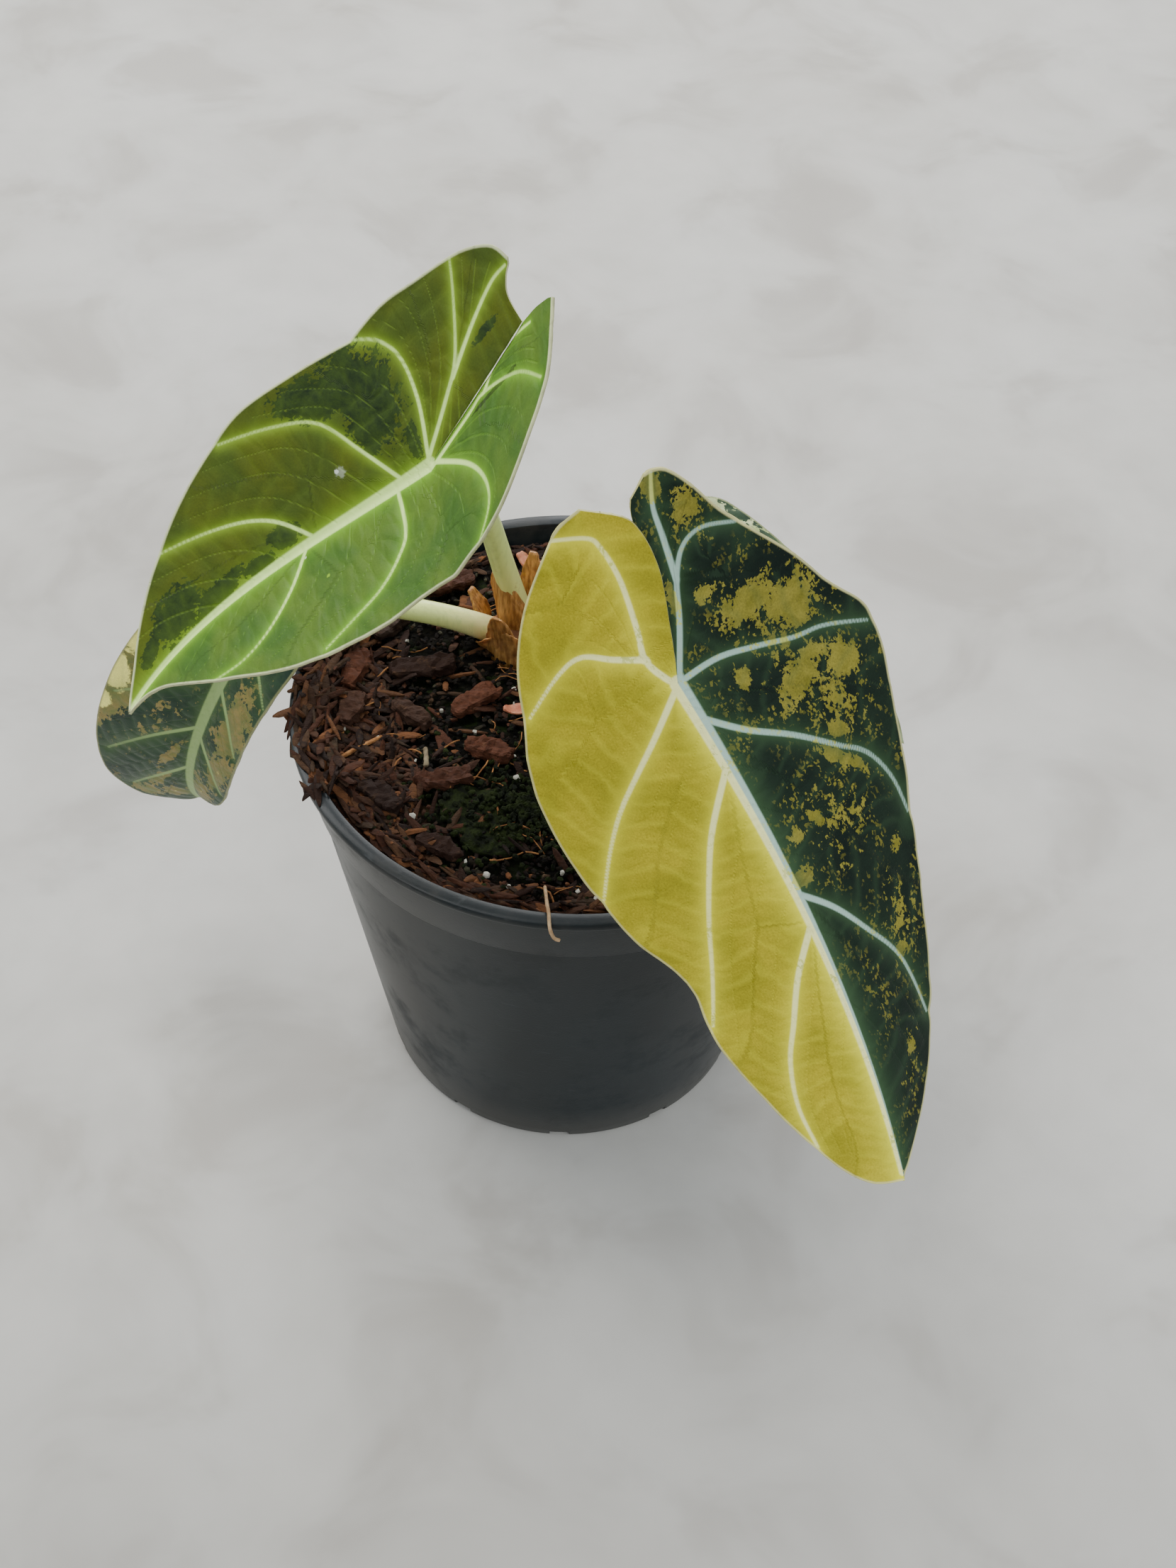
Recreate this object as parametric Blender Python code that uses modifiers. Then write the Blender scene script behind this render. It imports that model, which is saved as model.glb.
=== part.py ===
# Potted alocasia: a young variegated plant with four leaves in a round nursery pot.
# Metres, +Z up. The origin is the middle of the pot's underside, the face that it stands on.
import math
import random

import bmesh
import bpy
from mathutils import Matrix, Vector

# Pot
POT_HEIGHT = 0.102
POT_TOP_RADIUS = 0.060
POT_BASE_RADIUS = 0.042
POT_WALL = 0.0014
COLLAR_HEIGHT = 0.0145
COLLAR_STEP = 0.0009
RIM_BEAD = 0.0020
FOOT_WIDTH = 0.0045
FOOT_HEIGHT = 0.0018
CENTRE_DISC_RADIUS = 0.011
DRAIN_SLOTS = 11
DRAIN_SLOT_WIDTH = 0.0045
DRAIN_SLOT_HEIGHT = 0.0024

# Growing medium
FILL_DEPTH_BELOW_RIM = 0.0050
FILL_RISE_LEFT = 0.0022
CROWN_X = -0.0130
CROWN_Y = 0.0230
RHIZOME_RADIUS = 0.0078
RHIZOME_DEPTH = 0.0140
RHIZOME_STAND = 0.0030

# Leaves
BLADE_THICKNESS = 0.0010
LEAF_A_LENGTH = 0.0802
LEAF_B_LENGTH = 0.1030
LEAF_C_LENGTH = 0.0680
LEAF_D_LENGTH = 0.0500
PETIOLE_RADIUS = 0.0025

CLEARANCE = 0.0003
POT_SEGMENTS = 56

SOIL_LEVEL = POT_HEIGHT - FILL_DEPTH_BELOW_RIM
CROWN = Vector((CROWN_X, CROWN_Y, SOIL_LEVEL + RHIZOME_STAND))


# Each blade is drawn flat in shares of its midrib length: x runs from the stalk (0) to the
# tip (1), y to the side. "spine" is the midrib as Bezier points counted from the stalk.
LEAF_A = {
    "length": LEAF_A_LENGTH,
    "stalk_at": (-0.0148, -0.0373, 0.0767),
    "stalk_end": (-0.397, -0.627, 0.670),
    "stalk_base": (0.0005, 0.0045),
    "stalk_start": (-0.30, 0.10, 0.95),
    "stalk_reach": (0.030, 0.022),
    "spine": ((-0.245, -0.019, -0.212), (-0.554, -0.059, -0.394), (-0.725, -0.219, -0.635)),
    "facing": (-0.397, -0.627, 0.670),
    "fold": (20, 22),
    "tip_fold": (-3, 8),
    "curl": (-6, -9),
    "rear_bend": 0.18,
    "rear_shear": 0.41,
    "left": ((1, 0), (0.91, 0.045), (0.81, 0.110), (0.70, 0.178), (0.57, 0.250), (0.45, 0.302),
             (0.34, 0.338), (0.20, 0.341), (0.06, 0.333), (-0.10, 0.312), (-0.21, 0.270),
             (-0.33, 0.217), (-0.40, 0.160), (-0.415, 0.110)),
    "right": ((1, 0), (0.95, 0.012), (0.88, 0.055), (0.75, 0.165), (0.56, 0.276), (0.41, 0.319),
              (0.22, 0.334), (0.07, 0.315), (-0.09, 0.309), (-0.19, 0.293), (-0.33, 0.220),
              (-0.395, 0.168), (-0.435, 0.112), (-0.462, 0.062)),
    "left_slit": ((-0.345, 0.075), (-0.385, 0.092), (-0.408, 0.100)),
    "right_slit": ((-0.340, 0.004), (-0.385, 0.014), (-0.450, 0.044)),
    "joined_to": -0.325,
}
LEAF_B = {
    "length": LEAF_B_LENGTH,
    "stalk_at": (0.0311, -0.0843, 0.0707),
    "stalk_end": (0.046, -0.847, 0.530),
    "stalk_base": (0.0025, -0.0045),
    "stalk_start": (0.30, -0.10, 0.95),
    "stalk_reach": (0.036, 0.030),
    "spine": ((0.173, -0.094, -0.248), (0.347, -0.244, -0.497), (0.445, -0.442, -0.745)),
    "facing": (0.046, -0.847, 0.530),
    "fold": (-9, -15),
    "tip_fold": (2, -41),
    "curl": (-34, -2),
    "rear_bend": 0.12,
    "rear_shear": -0.153,
    "left": ((1.015, 0), (1.005, 0.060), (0.955, 0.115), (0.87, 0.168), (0.74, 0.222), (0.64, 0.248),
             (0.56, 0.245), (0.50, 0.258), (0.42, 0.298), (0.31, 0.325), (0.20, 0.333),
             (0.08, 0.322), (-0.04, 0.281), (-0.15, 0.245), (-0.23, 0.198), (-0.29, 0.142),
             (-0.335, 0.088), (-0.350, 0.040)),
    "right": ((1.015, 0), (0.955, 0.070), (0.89, 0.135), (0.79, 0.200), (0.70, 0.227), (0.56, 0.261),
              (0.40, 0.303), (0.28, 0.326), (0.17, 0.350), (0.09, 0.352), (0.02, 0.314),
              (-0.07, 0.268), (-0.15, 0.217), (-0.22, 0.173), (-0.29, 0.142), (-0.335, 0.112),
              (-0.343, 0.080)),
    "left_slit": ((-0.09, -0.022), (-0.20, -0.044), (-0.285, -0.034), (-0.325, 0.005)),
    "right_slit": ((-0.09, 0.031), (-0.15, 0.046), (-0.20, 0.056), (-0.285, 0.045), (-0.32, 0.050)),
    "joined_to": 0.0,
}
LEAF_C = {
    "length": LEAF_C_LENGTH,
    "stalk_at": (-0.0560, -0.0190, 0.0120),
    "stalk_end": (-0.50, -0.85, -0.10),
    "stalk_base": (-0.0048, 0.0005),
    "stalk_start": (-0.50, -0.45, 0.74),
    "stalk_reach": (0.020, 0.018),
    "spine": ((-0.125, -0.03, -0.19), (-0.31, -0.03, -0.66), (-0.27, 0.19, -0.97)),
    "facing": (-0.05, -0.98, 0.20),
    "fold": (-2, 35),
    "tip_fold": (0, -12),
    "curl": (-60, -40),
    "rear_bend": -0.2,
    "rear_shear": 0.0,
    "left": ((1, 0), (1.03, 0.070), (1.02, 0.160), (0.97, 0.245), (0.87, 0.305), (0.72, 0.330),
             (0.54, 0.335), (0.34, 0.325), (0.14, 0.295), (-0.04, 0.245), (-0.17, 0.175),
             (-0.23, 0.105)),
    "right": ((1, 0), (0.95, 0.050), (0.86, 0.100), (0.73, 0.145), (0.56, 0.165), (0.38, 0.172),
              (0.16, 0.182), (-0.04, 0.190), (-0.18, 0.175), (-0.27, 0.135), (-0.30, 0.085)),
    "left_slit": ((-0.07, 0.012), (-0.15, 0.030), (-0.22, 0.055)),
    "right_slit": ((-0.09, 0.010), (-0.19, 0.024), (-0.27, 0.045)),
    "joined_to": 0.0,
}
LEAF_D = {
    "length": LEAF_D_LENGTH,
    "stalk_at": (0.0490, -0.0125, 0.0330),
    "stalk_end": (0.45, -0.35, 0.82),
    "stalk_base": (0.0060, 0.0015),
    "stalk_start": (0.55, 0.00, 0.84),
    "stalk_reach": (0.018, 0.014),
    "spine": ((0.22, -0.05, -0.08), (0.48, -0.17, -0.36), (0.68, -0.296, -0.69)),
    "facing": (0.15, -0.45, 0.88),
    "fold": (-8, -12),
    "tip_fold": (-6, -6),
    "curl": (-60, -60),
    "rear_bend": 0.0,
    "rear_shear": 0.0,
    "left": ((1, 0), (0.92, 0.075), (0.80, 0.150), (0.64, 0.225), (0.45, 0.285), (0.25, 0.320),
             (0.06, 0.325), (-0.10, 0.300), (-0.24, 0.250), (-0.34, 0.180), (-0.38, 0.100)),
    "right": ((1, 0), (0.92, 0.030), (0.80, 0.055), (0.64, 0.075), (0.45, 0.095), (0.25, 0.130),
              (0.06, 0.180), (-0.10, 0.225), (-0.24, 0.240), (-0.34, 0.180), (-0.38, 0.100)),
    "left_slit": ((-0.12, 0.012), (-0.26, 0.035), (-0.34, 0.060)),
    "right_slit": ((-0.12, 0.012), (-0.26, 0.035), (-0.34, 0.060)),
    "joined_to": 0.0,
}
LEAVES = (
    ("a", LEAF_A, (0.10, 0.16, 0.02), (0.50, 0.60, 0.25)),
    ("b", LEAF_B, (0.34, 0.29, 0.03), (0.50, 0.60, 0.25)),
    ("c", LEAF_C, (0.05, 0.10, 0.06), (0.62, 0.70, 0.45)),
    ("d", LEAF_D, (0.14, 0.22, 0.10), (0.50, 0.60, 0.25)),
)
BLADE_ROWS = 26
MIDRIB_ROWS = 20
BLADE_COLUMNS = 6
STALK_TAPER = (1.12, 1.10, 1.06, 1.02, 0.99, 0.96, 0.93, 0.90, 0.86, 0.82, 0.74, 0.58, 0.42)

# Crown sheaths: heading round the crown (degrees), width, height, outward lean
SHEATH_THICKNESS = 0.0005
STALK_RING = 0.0058
SHEATHS = (
    (-115, 0.0085, 0.0130, 0.0015),
    (160, 0.0060, 0.0090, 0.0030),
    (75, 0.0070, 0.0160, 0.0010),
)

# Pieces that lie on the medium. Places: share of the inside radius, angle round the pot.
# All of them are laid out for a medium this wide, and drawn in or out with the real one.
LITTER_RADIUS = 0.05591078431372549
BARK_TONES = {
    "red": ("Red bark", (0.20, 0.075, 0.035)),
    "brown": ("Brown bark", (0.11, 0.050, 0.030)),
    "grey": ("Grey bark", (0.14, 0.105, 0.080)),
}
CHIPS = (
    (0.86, 170, (0.0120, 0.0055, 0.0030), 70, "red"),
    (0.62, 163, (0.0150, 0.0050, 0.0032), 15, "brown"),
    (0.84, 184, (0.0100, 0.0050, 0.0030), 75, "red"),
    (0.62, 186, (0.0110, 0.0045, 0.0028), -35, "red"),
    (0.38, 176, (0.0120, 0.0045, 0.0030), 40, "brown"),
    (0.84, 215, (0.0110, 0.0050, 0.0026), -40, "brown"),
    (0.60, 219, (0.0120, 0.0045, 0.0028), 15, "red"),
    (0.38, 215, (0.0110, 0.0045, 0.0026), -20, "grey"),
    (0.84, 150, (0.0120, 0.0050, 0.0030), 55, "brown"),
    (0.84, 237, (0.0100, 0.0040, 0.0024), -25, "red"),
    (0.84, 128, (0.0120, 0.0050, 0.0030), 30, "brown"),
    (0.66, 60, (0.0110, 0.0045, 0.0028), -10, "grey"),
    (0.80, 20, (0.0120, 0.0050, 0.0028), 80, "brown"),
    (0.62, -8, (0.0120, 0.0045, 0.0028), 50, "red"),
    (0.84, -28, (0.0110, 0.0045, 0.0026), 65, "brown"),
)
PERLITE = (
    (0.40, 240, 0.0010),
    (0.86, 251, 0.0008),
    (0.80, 225, 0.0009),
    (0.78, 269, 0.0007),
    (0.30, 270, 0.0008),
    (0.74, 143, 0.0010),
    (0.66, 88, 0.0011),
    (0.55, 20, 0.0009),
)
FLAKE_THICKNESS = 0.0006
FLAKES = (
    ((-0.0105, 0.0450), (0.0095, 0.0042), -35, 0.0022),
    ((-0.0120, 0.0005), (0.0062, 0.0030), 10, 0.0010),
)
MOSS_PLACE = (-0.0150, -0.0300)
MOSS_REACH = (0.0110, 0.0090)
MOSS_HEIGHT = 0.0014
FIBRE_RADIUS = 0.0004
FIBRE_START = (-0.0040, -0.0470)
TWIGS = (
    ("coir_strand", ((-0.0505, -0.0195, 0), (-0.0455, -0.0152, 0.0006), (-0.0398, -0.0099, 0)), 0.0005,
     (0.40, 0.24, 0.13)),
    ("grey_stick", ((-0.0300, -0.0176, 0), (-0.0302, -0.0150, 0), (-0.0306, -0.0124, 0)), 0.0006,
     (0.36, 0.30, 0.24)),
)


def clear_scene():
    for item in list(bpy.data.objects):
        bpy.data.objects.remove(item)


def new_collection(name):
    collection = bpy.data.collections.new(name)
    bpy.context.scene.collection.children.link(collection)
    return collection


def material(name, colour, roughness, metallic=0.0):
    made = bpy.data.materials.get(name)
    if made is None:
        made = bpy.data.materials.new(name)
        made.use_nodes = True
        shader = made.node_tree.nodes["Principled BSDF"]
        shader.inputs["Base Color"].default_value = (*colour, 1)
        shader.inputs["Roughness"].default_value = roughness
        shader.inputs["Metallic"].default_value = metallic
        made.diffuse_color = (*colour, 1)
    return made


def object_from(name, mesh, finish, collection, smooth=True):
    made = bpy.data.objects.new(name, mesh)
    collection.objects.link(made)
    if finish is not None:
        mesh.materials.append(finish)
    if smooth:
        mesh.shade_smooth()
    return made


def mesh_from(name, shape):
    mesh = bpy.data.meshes.new(name)
    shape.to_mesh(mesh)
    shape.free()
    return mesh


def cutter(name, mesh, collection):
    made = object_from(name, mesh, None, collection, smooth=False)
    made.hide_render = True
    made.display_type = "WIRE"
    return made


def cut(target, tool):
    boolean = target.modifiers.new("Cut " + tool.name, "BOOLEAN")
    boolean.operation = "DIFFERENCE"
    boolean.solver = "EXACT"
    boolean.object = tool


def thicken(target, thickness, offset):
    solid = target.modifiers.new("Thickness", "SOLIDIFY")
    solid.thickness = thickness
    solid.offset = offset
    solid.use_even_offset = True


def screw_object(name, profile, finish, collection, steps):
    shape = bmesh.new()
    points = [shape.verts.new((radius, 0, height)) for radius, height in profile]
    for first, second in zip(points, points[1:]):
        shape.edges.new((first, second))
    made = object_from(name, mesh_from(name, shape), finish, collection)
    turn = made.modifiers.new("Turn", "SCREW")
    turn.axis = "Z"
    turn.steps = steps
    turn.render_steps = steps
    turn.use_merge_vertices = True
    turn.merge_threshold = 0.0001
    turn.use_smooth_shade = True
    return made


# ---- pot -------------------------------------------------------------------------------

def outer_radius(height):
    """Outside of the tapered body, below the collar."""
    share = height / POT_HEIGHT
    top = POT_TOP_RADIUS - RIM_BEAD / 2 - COLLAR_STEP
    return POT_BASE_RADIUS + (top - POT_BASE_RADIUS) * share


def inner_radius(height):
    return outer_radius(height) - POT_WALL


def make_pot(collection, cutters):
    bead_bottom = POT_HEIGHT - RIM_BEAD
    step = POT_HEIGHT - COLLAR_HEIGHT
    collar_top = POT_TOP_RADIUS - RIM_BEAD / 2
    collar_bottom = outer_radius(step) + COLLAR_STEP
    floor_top = FOOT_HEIGHT + POT_WALL
    ring_inner = POT_BASE_RADIUS - FOOT_WIDTH
    edge = 0.0006
    profile = [
        (inner_radius(POT_HEIGHT), POT_HEIGHT - edge),
        (inner_radius(POT_HEIGHT) + edge, POT_HEIGHT),
        (POT_TOP_RADIUS - edge, POT_HEIGHT),
        (POT_TOP_RADIUS, POT_HEIGHT - edge),
        (POT_TOP_RADIUS, bead_bottom + edge),
        (collar_top, bead_bottom),
        (collar_bottom, step + edge),
        (outer_radius(step), step - edge),
        (outer_radius(POT_HEIGHT / 2), POT_HEIGHT / 2),
        (outer_radius(2 * edge), 2 * edge),
        (POT_BASE_RADIUS - edge, 0),
        (ring_inner, 0),
        (ring_inner - edge, FOOT_HEIGHT),
        (CENTRE_DISC_RADIUS + edge, FOOT_HEIGHT),
        (CENTRE_DISC_RADIUS, 0),
        (0, 0),
    ]
    inside = [
        (0, floor_top),
        (inner_radius(floor_top) - edge, floor_top),
        (inner_radius(floor_top + edge), floor_top + edge),
        (inner_radius(POT_HEIGHT / 2), POT_HEIGHT / 2),
        (inner_radius(POT_HEIGHT), POT_HEIGHT - edge),
    ]
    finish = material("Pot plastic", (0.040, 0.046, 0.050), 0.42)
    pot = screw_object("pot", profile + inside, finish, collection, POT_SEGMENTS)
    for index in range(DRAIN_SLOTS):
        angle = math.radians(-89) + 2 * math.pi * index / DRAIN_SLOTS
        shape = bmesh.new()
        bmesh.ops.create_cube(shape, size=1)
        depth = FOOT_WIDTH + 0.006
        bmesh.ops.scale(shape, verts=shape.verts,
                        vec=(depth, DRAIN_SLOT_WIDTH, 2 * DRAIN_SLOT_HEIGHT))
        middle = POT_BASE_RADIUS - depth / 2 + 0.003
        bmesh.ops.translate(shape, verts=shape.verts, vec=(middle, 0, 0))
        bmesh.ops.rotate(shape, verts=shape.verts, matrix=Matrix.Rotation(angle, 3, "Z"))
        name = "drain_slot_cutter_%d" % (index + 1)
        cut(pot, cutter(name, mesh_from(name, shape), cutters))
    return pot


# ---- growing medium --------------------------------------------------------------------

def soil_height(x, y):
    """Top of the growing medium: a little higher at the left and round the crown."""
    left = max(0.0, -x / POT_TOP_RADIUS)
    near_crown = math.exp(-((x - CROWN_X) ** 2 + (y - CROWN_Y) ** 2) / 0.018 ** 2)
    return SOIL_LEVEL + FILL_RISE_LEFT * left + 0.0008 * near_crown


def make_substrate(collection, cutters):
    bottom = FOOT_HEIGHT + POT_WALL + CLEARANCE
    top_radius = inner_radius(SOIL_LEVEL) - CLEARANCE
    bottom_radius = inner_radius(bottom) - 2 * CLEARANCE
    shape = bmesh.new()
    bmesh.ops.create_cone(shape, cap_ends=True, segments=POT_SEGMENTS, radius1=bottom_radius,
                          radius2=top_radius, depth=SOIL_LEVEL - bottom)
    bmesh.ops.translate(shape, verts=shape.verts, vec=(0, 0, (SOIL_LEVEL + bottom) / 2))
    cap = max(shape.faces, key=lambda face: face.calc_center_median().z)
    for _ in range(4):
        bmesh.ops.inset_region(shape, faces=[cap], thickness=top_radius / 5)
    bmesh.ops.poke(shape, faces=[cap])
    for vert in shape.verts:
        if vert.co.z > SOIL_LEVEL - 0.0001:
            vert.co.z = soil_height(vert.co.x, vert.co.y)
    finish = material("Coir and peat", (0.070, 0.034, 0.020), 0.9)
    soil = object_from("substrate", mesh_from("substrate", shape), finish, collection)
    pocket = bmesh.new()
    depth = RHIZOME_DEPTH + CLEARANCE
    bmesh.ops.create_cone(pocket, cap_ends=True, segments=24,
                          radius1=RHIZOME_RADIUS * 0.8 + CLEARANCE,
                          radius2=RHIZOME_RADIUS + 2 * CLEARANCE, depth=2 * depth)
    bmesh.ops.translate(pocket, verts=pocket.verts, vec=(CROWN_X, CROWN_Y, SOIL_LEVEL))
    cut(soil, cutter("crown_pocket_cutter", mesh_from("crown_pocket_cutter", pocket), cutters))
    return soil


def make_rhizome(collection):
    shape = bmesh.new()
    height = RHIZOME_DEPTH + RHIZOME_STAND
    bmesh.ops.create_cone(shape, cap_ends=True, segments=20, radius1=RHIZOME_RADIUS * 0.7,
                          radius2=RHIZOME_RADIUS * 0.95, depth=height)
    middle = SOIL_LEVEL + RHIZOME_STAND - height / 2
    bmesh.ops.translate(shape, verts=shape.verts, vec=(CROWN_X, CROWN_Y, middle))
    rim = [edge for edge in shape.edges if all(v.co.z > middle for v in edge.verts)]
    bmesh.ops.bevel(shape, geom=rim, offset=0.0008, segments=2, affect="EDGES", profile=0.5,
                    material=-1)
    finish = material("Rhizome", (0.20, 0.10, 0.045), 0.7)
    return object_from("rhizome", mesh_from("rhizome", shape), finish, collection)


# ---- leaves ----------------------------------------------------------------------------

def bezier(points, share):
    rest = 1 - share
    return (rest ** 3 * points[0] + 3 * rest ** 2 * share * points[1]
            + 3 * rest * share ** 2 * points[2] + share ** 3 * points[3])


def bezier_slope(points, share):
    rest = 1 - share
    return 3 * (rest ** 2 * (points[1] - points[0]) + 2 * rest * share * (points[2] - points[1])
                + share ** 2 * (points[3] - points[2]))


def smooth_line(points, share):
    """Point at a share of the way along a smooth line through the points (Catmull-Rom)."""
    place = share * (len(points) - 1)
    index = min(int(place), len(points) - 2)
    part = place - index
    corners = [Vector(points[max(0, min(len(points) - 1, index + step))]) for step in (-1, 0, 1, 2)]
    before, start, end, after = corners
    return 0.5 * ((2 * start) + (end - before) * part
                  + (2 * before - 5 * start + 4 * end - after) * part ** 2
                  + (3 * start - before - 3 * end + after) * part ** 3)


class Blade:
    """Places flat leaf coordinates on the bent blade."""

    def __init__(self, leaf):
        self.leaf = leaf
        self.length = leaf["length"]
        self.stalk = CROWN + Vector(leaf["stalk_at"])
        self.points = [self.stalk] + [self.stalk + self.length * Vector(p) for p in leaf["spine"]]
        self.facing = Vector(leaf["facing"]).normalized()
        steps = 120
        places = [bezier(self.points, index / steps) for index in range(steps + 1)]
        self.arc = [0.0]
        for first, second in zip(places, places[1:]):
            self.arc.append(self.arc[-1] + (second - first).length)

    def share_at(self, distance):
        """Bezier share at a distance along the midrib, from the stalk."""
        distance = max(0.0, min(self.arc[-1], distance))
        for index in range(1, len(self.arc)):
            if self.arc[index] >= distance:
                break
        low, high = self.arc[index - 1], self.arc[index]
        return (index - 1 + (distance - low) / (high - low)) / (len(self.arc) - 1)

    def frame(self, x):
        along = x * self.arc[-1]
        share = self.share_at(along)
        place = bezier(self.points, share)
        tangent = bezier_slope(self.points, share).normalized()
        side = tangent.cross(self.facing).normalized()
        up = side.cross(tangent)
        if x > 1:
            place = place + tangent * (along - self.arc[-1])
        if x < 0:
            angle = -x * self.leaf["rear_bend"]
            back = -along
            place = (place - tangent * back * math.cos(angle / 2) + up * back * math.sin(angle / 2)
                     + side * back * self.leaf["rear_shear"])
            up = up * math.cos(angle) + tangent * math.sin(angle)
        return place, side, up

    def place(self, x, y, hand):
        """World place of flat point (x, y); hand is 1 on the left half, -1 on the right."""
        middle, side, up = self.frame(x)
        half = 0 if hand > 0 else 1
        tip_share = max(-0.5, min(1.0, x))
        fold = math.radians(self.leaf["fold"][half] + self.leaf["tip_fold"][half] * tip_share)
        width = y * self.length
        turn = math.radians(self.leaf["curl"][half]) / 0.1 * width
        if abs(turn) < 1e-6:
            return middle + width * (side * hand * math.cos(fold) + up * math.sin(fold))
        out = (math.sin(fold + turn) - math.sin(fold)) / turn * width
        rise = (math.cos(fold) - math.cos(fold + turn)) / turn * width
        return middle + side * hand * out + up * rise


def inner_line(leaf, half, share):
    """Inner edge of a half blade: along the midrib as far as the halves are joined, then the slit."""
    joined_to = leaf["joined_to"]
    turn = MIDRIB_ROWS / BLADE_ROWS
    if share <= turn + 1e-6:
        return Vector((1 - share / turn * (1 - joined_to), 0))
    slit = ((joined_to, 0),) + leaf[half + "_slit"]
    return smooth_line(slit, (share - turn) / (1 - turn))


def half_blade(shape, blade, half, hand):
    leaf = blade.leaf
    made = bmesh.ops.create_grid(shape, x_segments=BLADE_ROWS, y_segments=BLADE_COLUMNS, size=1)
    for vert in made["verts"]:
        along = (vert.co.x + 1) / 2
        across = (vert.co.y + 1) / 2
        inner = inner_line(leaf, half, along)
        outer = smooth_line(leaf[half], along)
        flat = inner.lerp(outer, across)
        vert.co = blade.place(flat.x, flat.y, hand)
    if hand < 0:
        faces = {face for vert in made["verts"] for face in vert.link_faces}
        bmesh.ops.reverse_faces(shape, faces=list(faces))


def make_blade(name, leaf, colour, collection):
    blade = Blade(leaf)
    shape = bmesh.new()
    half_blade(shape, blade, "left", 1)
    half_blade(shape, blade, "right", -1)
    bmesh.ops.remove_doubles(shape, verts=shape.verts, dist=0.00005)
    finish = material(name.replace("_", " "), colour, 0.45)
    made = object_from(name, mesh_from(name, shape), finish, collection)
    thicken(made, BLADE_THICKNESS, -1)
    return blade


def make_petiole(name, blade, colour, collection):
    """Stalk from the rhizome to the underside of its blade, thinner towards the blade."""
    leaf = blade.leaf
    start = Vector(leaf["stalk_start"]).normalized()
    lean = math.sqrt(1 - start.z ** 2)
    foot = PETIOLE_RADIUS * STALK_TAPER[0] * lean + CLEARANCE
    base = CROWN + Vector((*leaf["stalk_base"], foot))
    finish = Vector(leaf["stalk_end"]).normalized()
    up = blade.frame(0)[2]
    end_radius = PETIOLE_RADIUS * STALK_TAPER[-1]
    droop = math.radians(max(0, -min(leaf["fold"])))
    tilt = math.sqrt(max(0.0, 1 - finish.dot(up) ** 2))
    gap = BLADE_THICKNESS + CLEARANCE + end_radius * (tilt + math.sin(droop))
    end = blade.stalk - up * gap
    reach_start, reach_end = leaf["stalk_reach"]
    route = (base, base + start * reach_start, end - finish * reach_end, end)
    curve = bpy.data.curves.new(name, "CURVE")
    curve.dimensions = "3D"
    curve.bevel_depth = PETIOLE_RADIUS
    curve.bevel_resolution = 2
    curve.use_fill_caps = True
    spline = curve.splines.new("POLY")
    spline.points.add(len(STALK_TAPER) - 1)
    for index, (point, size) in enumerate(zip(spline.points, STALK_TAPER)):
        share = index / (len(STALK_TAPER) - 1)
        point.co = (*bezier(route, share), 1)
        point.radius = size
    made = bpy.data.objects.new(name, curve)
    curve.materials.append(material(name.replace("_", " "), colour, 0.4))
    collection.objects.link(made)
    return made


# ---- crown and loose pieces ------------------------------------------------------------

def tube(name, points, radius, finish, collection):
    """Thin round piece along a smooth line through the points."""
    curve = bpy.data.curves.new(name, "CURVE")
    curve.dimensions = "3D"
    curve.bevel_depth = radius
    curve.bevel_resolution = 1
    curve.use_fill_caps = True
    spline = curve.splines.new("POLY")
    count = 3 * (len(points) - 1) + 1
    spline.points.add(count - 1)
    for index, point in enumerate(spline.points):
        point.co = (*smooth_line(points, index / (count - 1)), 1)
    made = bpy.data.objects.new(name, curve)
    curve.materials.append(finish)
    collection.objects.link(made)
    return made


def make_sheath(name, heading, width, height, lean, collection):
    """Papery strip that stands round the crown, bent to its curve and narrowed to a point."""
    round_rhizome = RHIZOME_RADIUS + SHEATH_THICKNESS + CLEARANCE
    round_stalks = STALK_RING + PETIOLE_RADIUS * STALK_TAPER[0]
    radius = max(round_rhizome, round_stalks)
    middle_x = CROWN_X + radius * math.cos(math.radians(heading))
    middle_y = CROWN_Y + radius * math.sin(math.radians(heading))
    foot = seat_height(middle_x, middle_y, width / 2) + CLEARANCE
    shape = bmesh.new()
    bmesh.ops.create_grid(shape, x_segments=5, y_segments=6, size=1)
    for vert in shape.verts:
        rise = (vert.co.y + 1) / 2
        narrow = 1 - 0.8 * rise ** 2
        angle = math.radians(heading) + vert.co.x * width / 2 / radius * narrow
        out = radius + lean * rise ** 2
        x = CROWN_X + out * math.cos(angle)
        y = CROWN_Y + out * math.sin(angle)
        vert.co = (x, y, foot + height * rise)
    finish = material("Papery sheath", (0.30, 0.12, 0.03), 0.5)
    made = object_from(name, mesh_from(name, shape), finish, collection)
    thicken(made, SHEATH_THICKNESS, 0)
    return made


def seat_height(x, y, reach):
    """Highest soil under a piece whose half length is reach."""
    spots = ((x, y), (x + reach, y), (x - reach, y), (x, y + reach), (x, y - reach))
    return max(soil_height(*spot) for spot in spots) + CLEARANCE


def litter_scale(x, y):
    """How much the room between crown and wall has grown at a spot of the layout."""
    across, along = x - CROWN_X, y - CROWN_Y
    inward = (CROWN_X * across + CROWN_Y * along) / math.hypot(across, along)
    ring = RHIZOME_RADIUS + CLEARANCE
    rooms = [math.sqrt(inward ** 2 + radius ** 2 - CROWN_X ** 2 - CROWN_Y ** 2) - inward - ring
             for radius in (inner_radius(SOIL_LEVEL), LITTER_RADIUS)]
    return rooms[0] / rooms[1]


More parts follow.
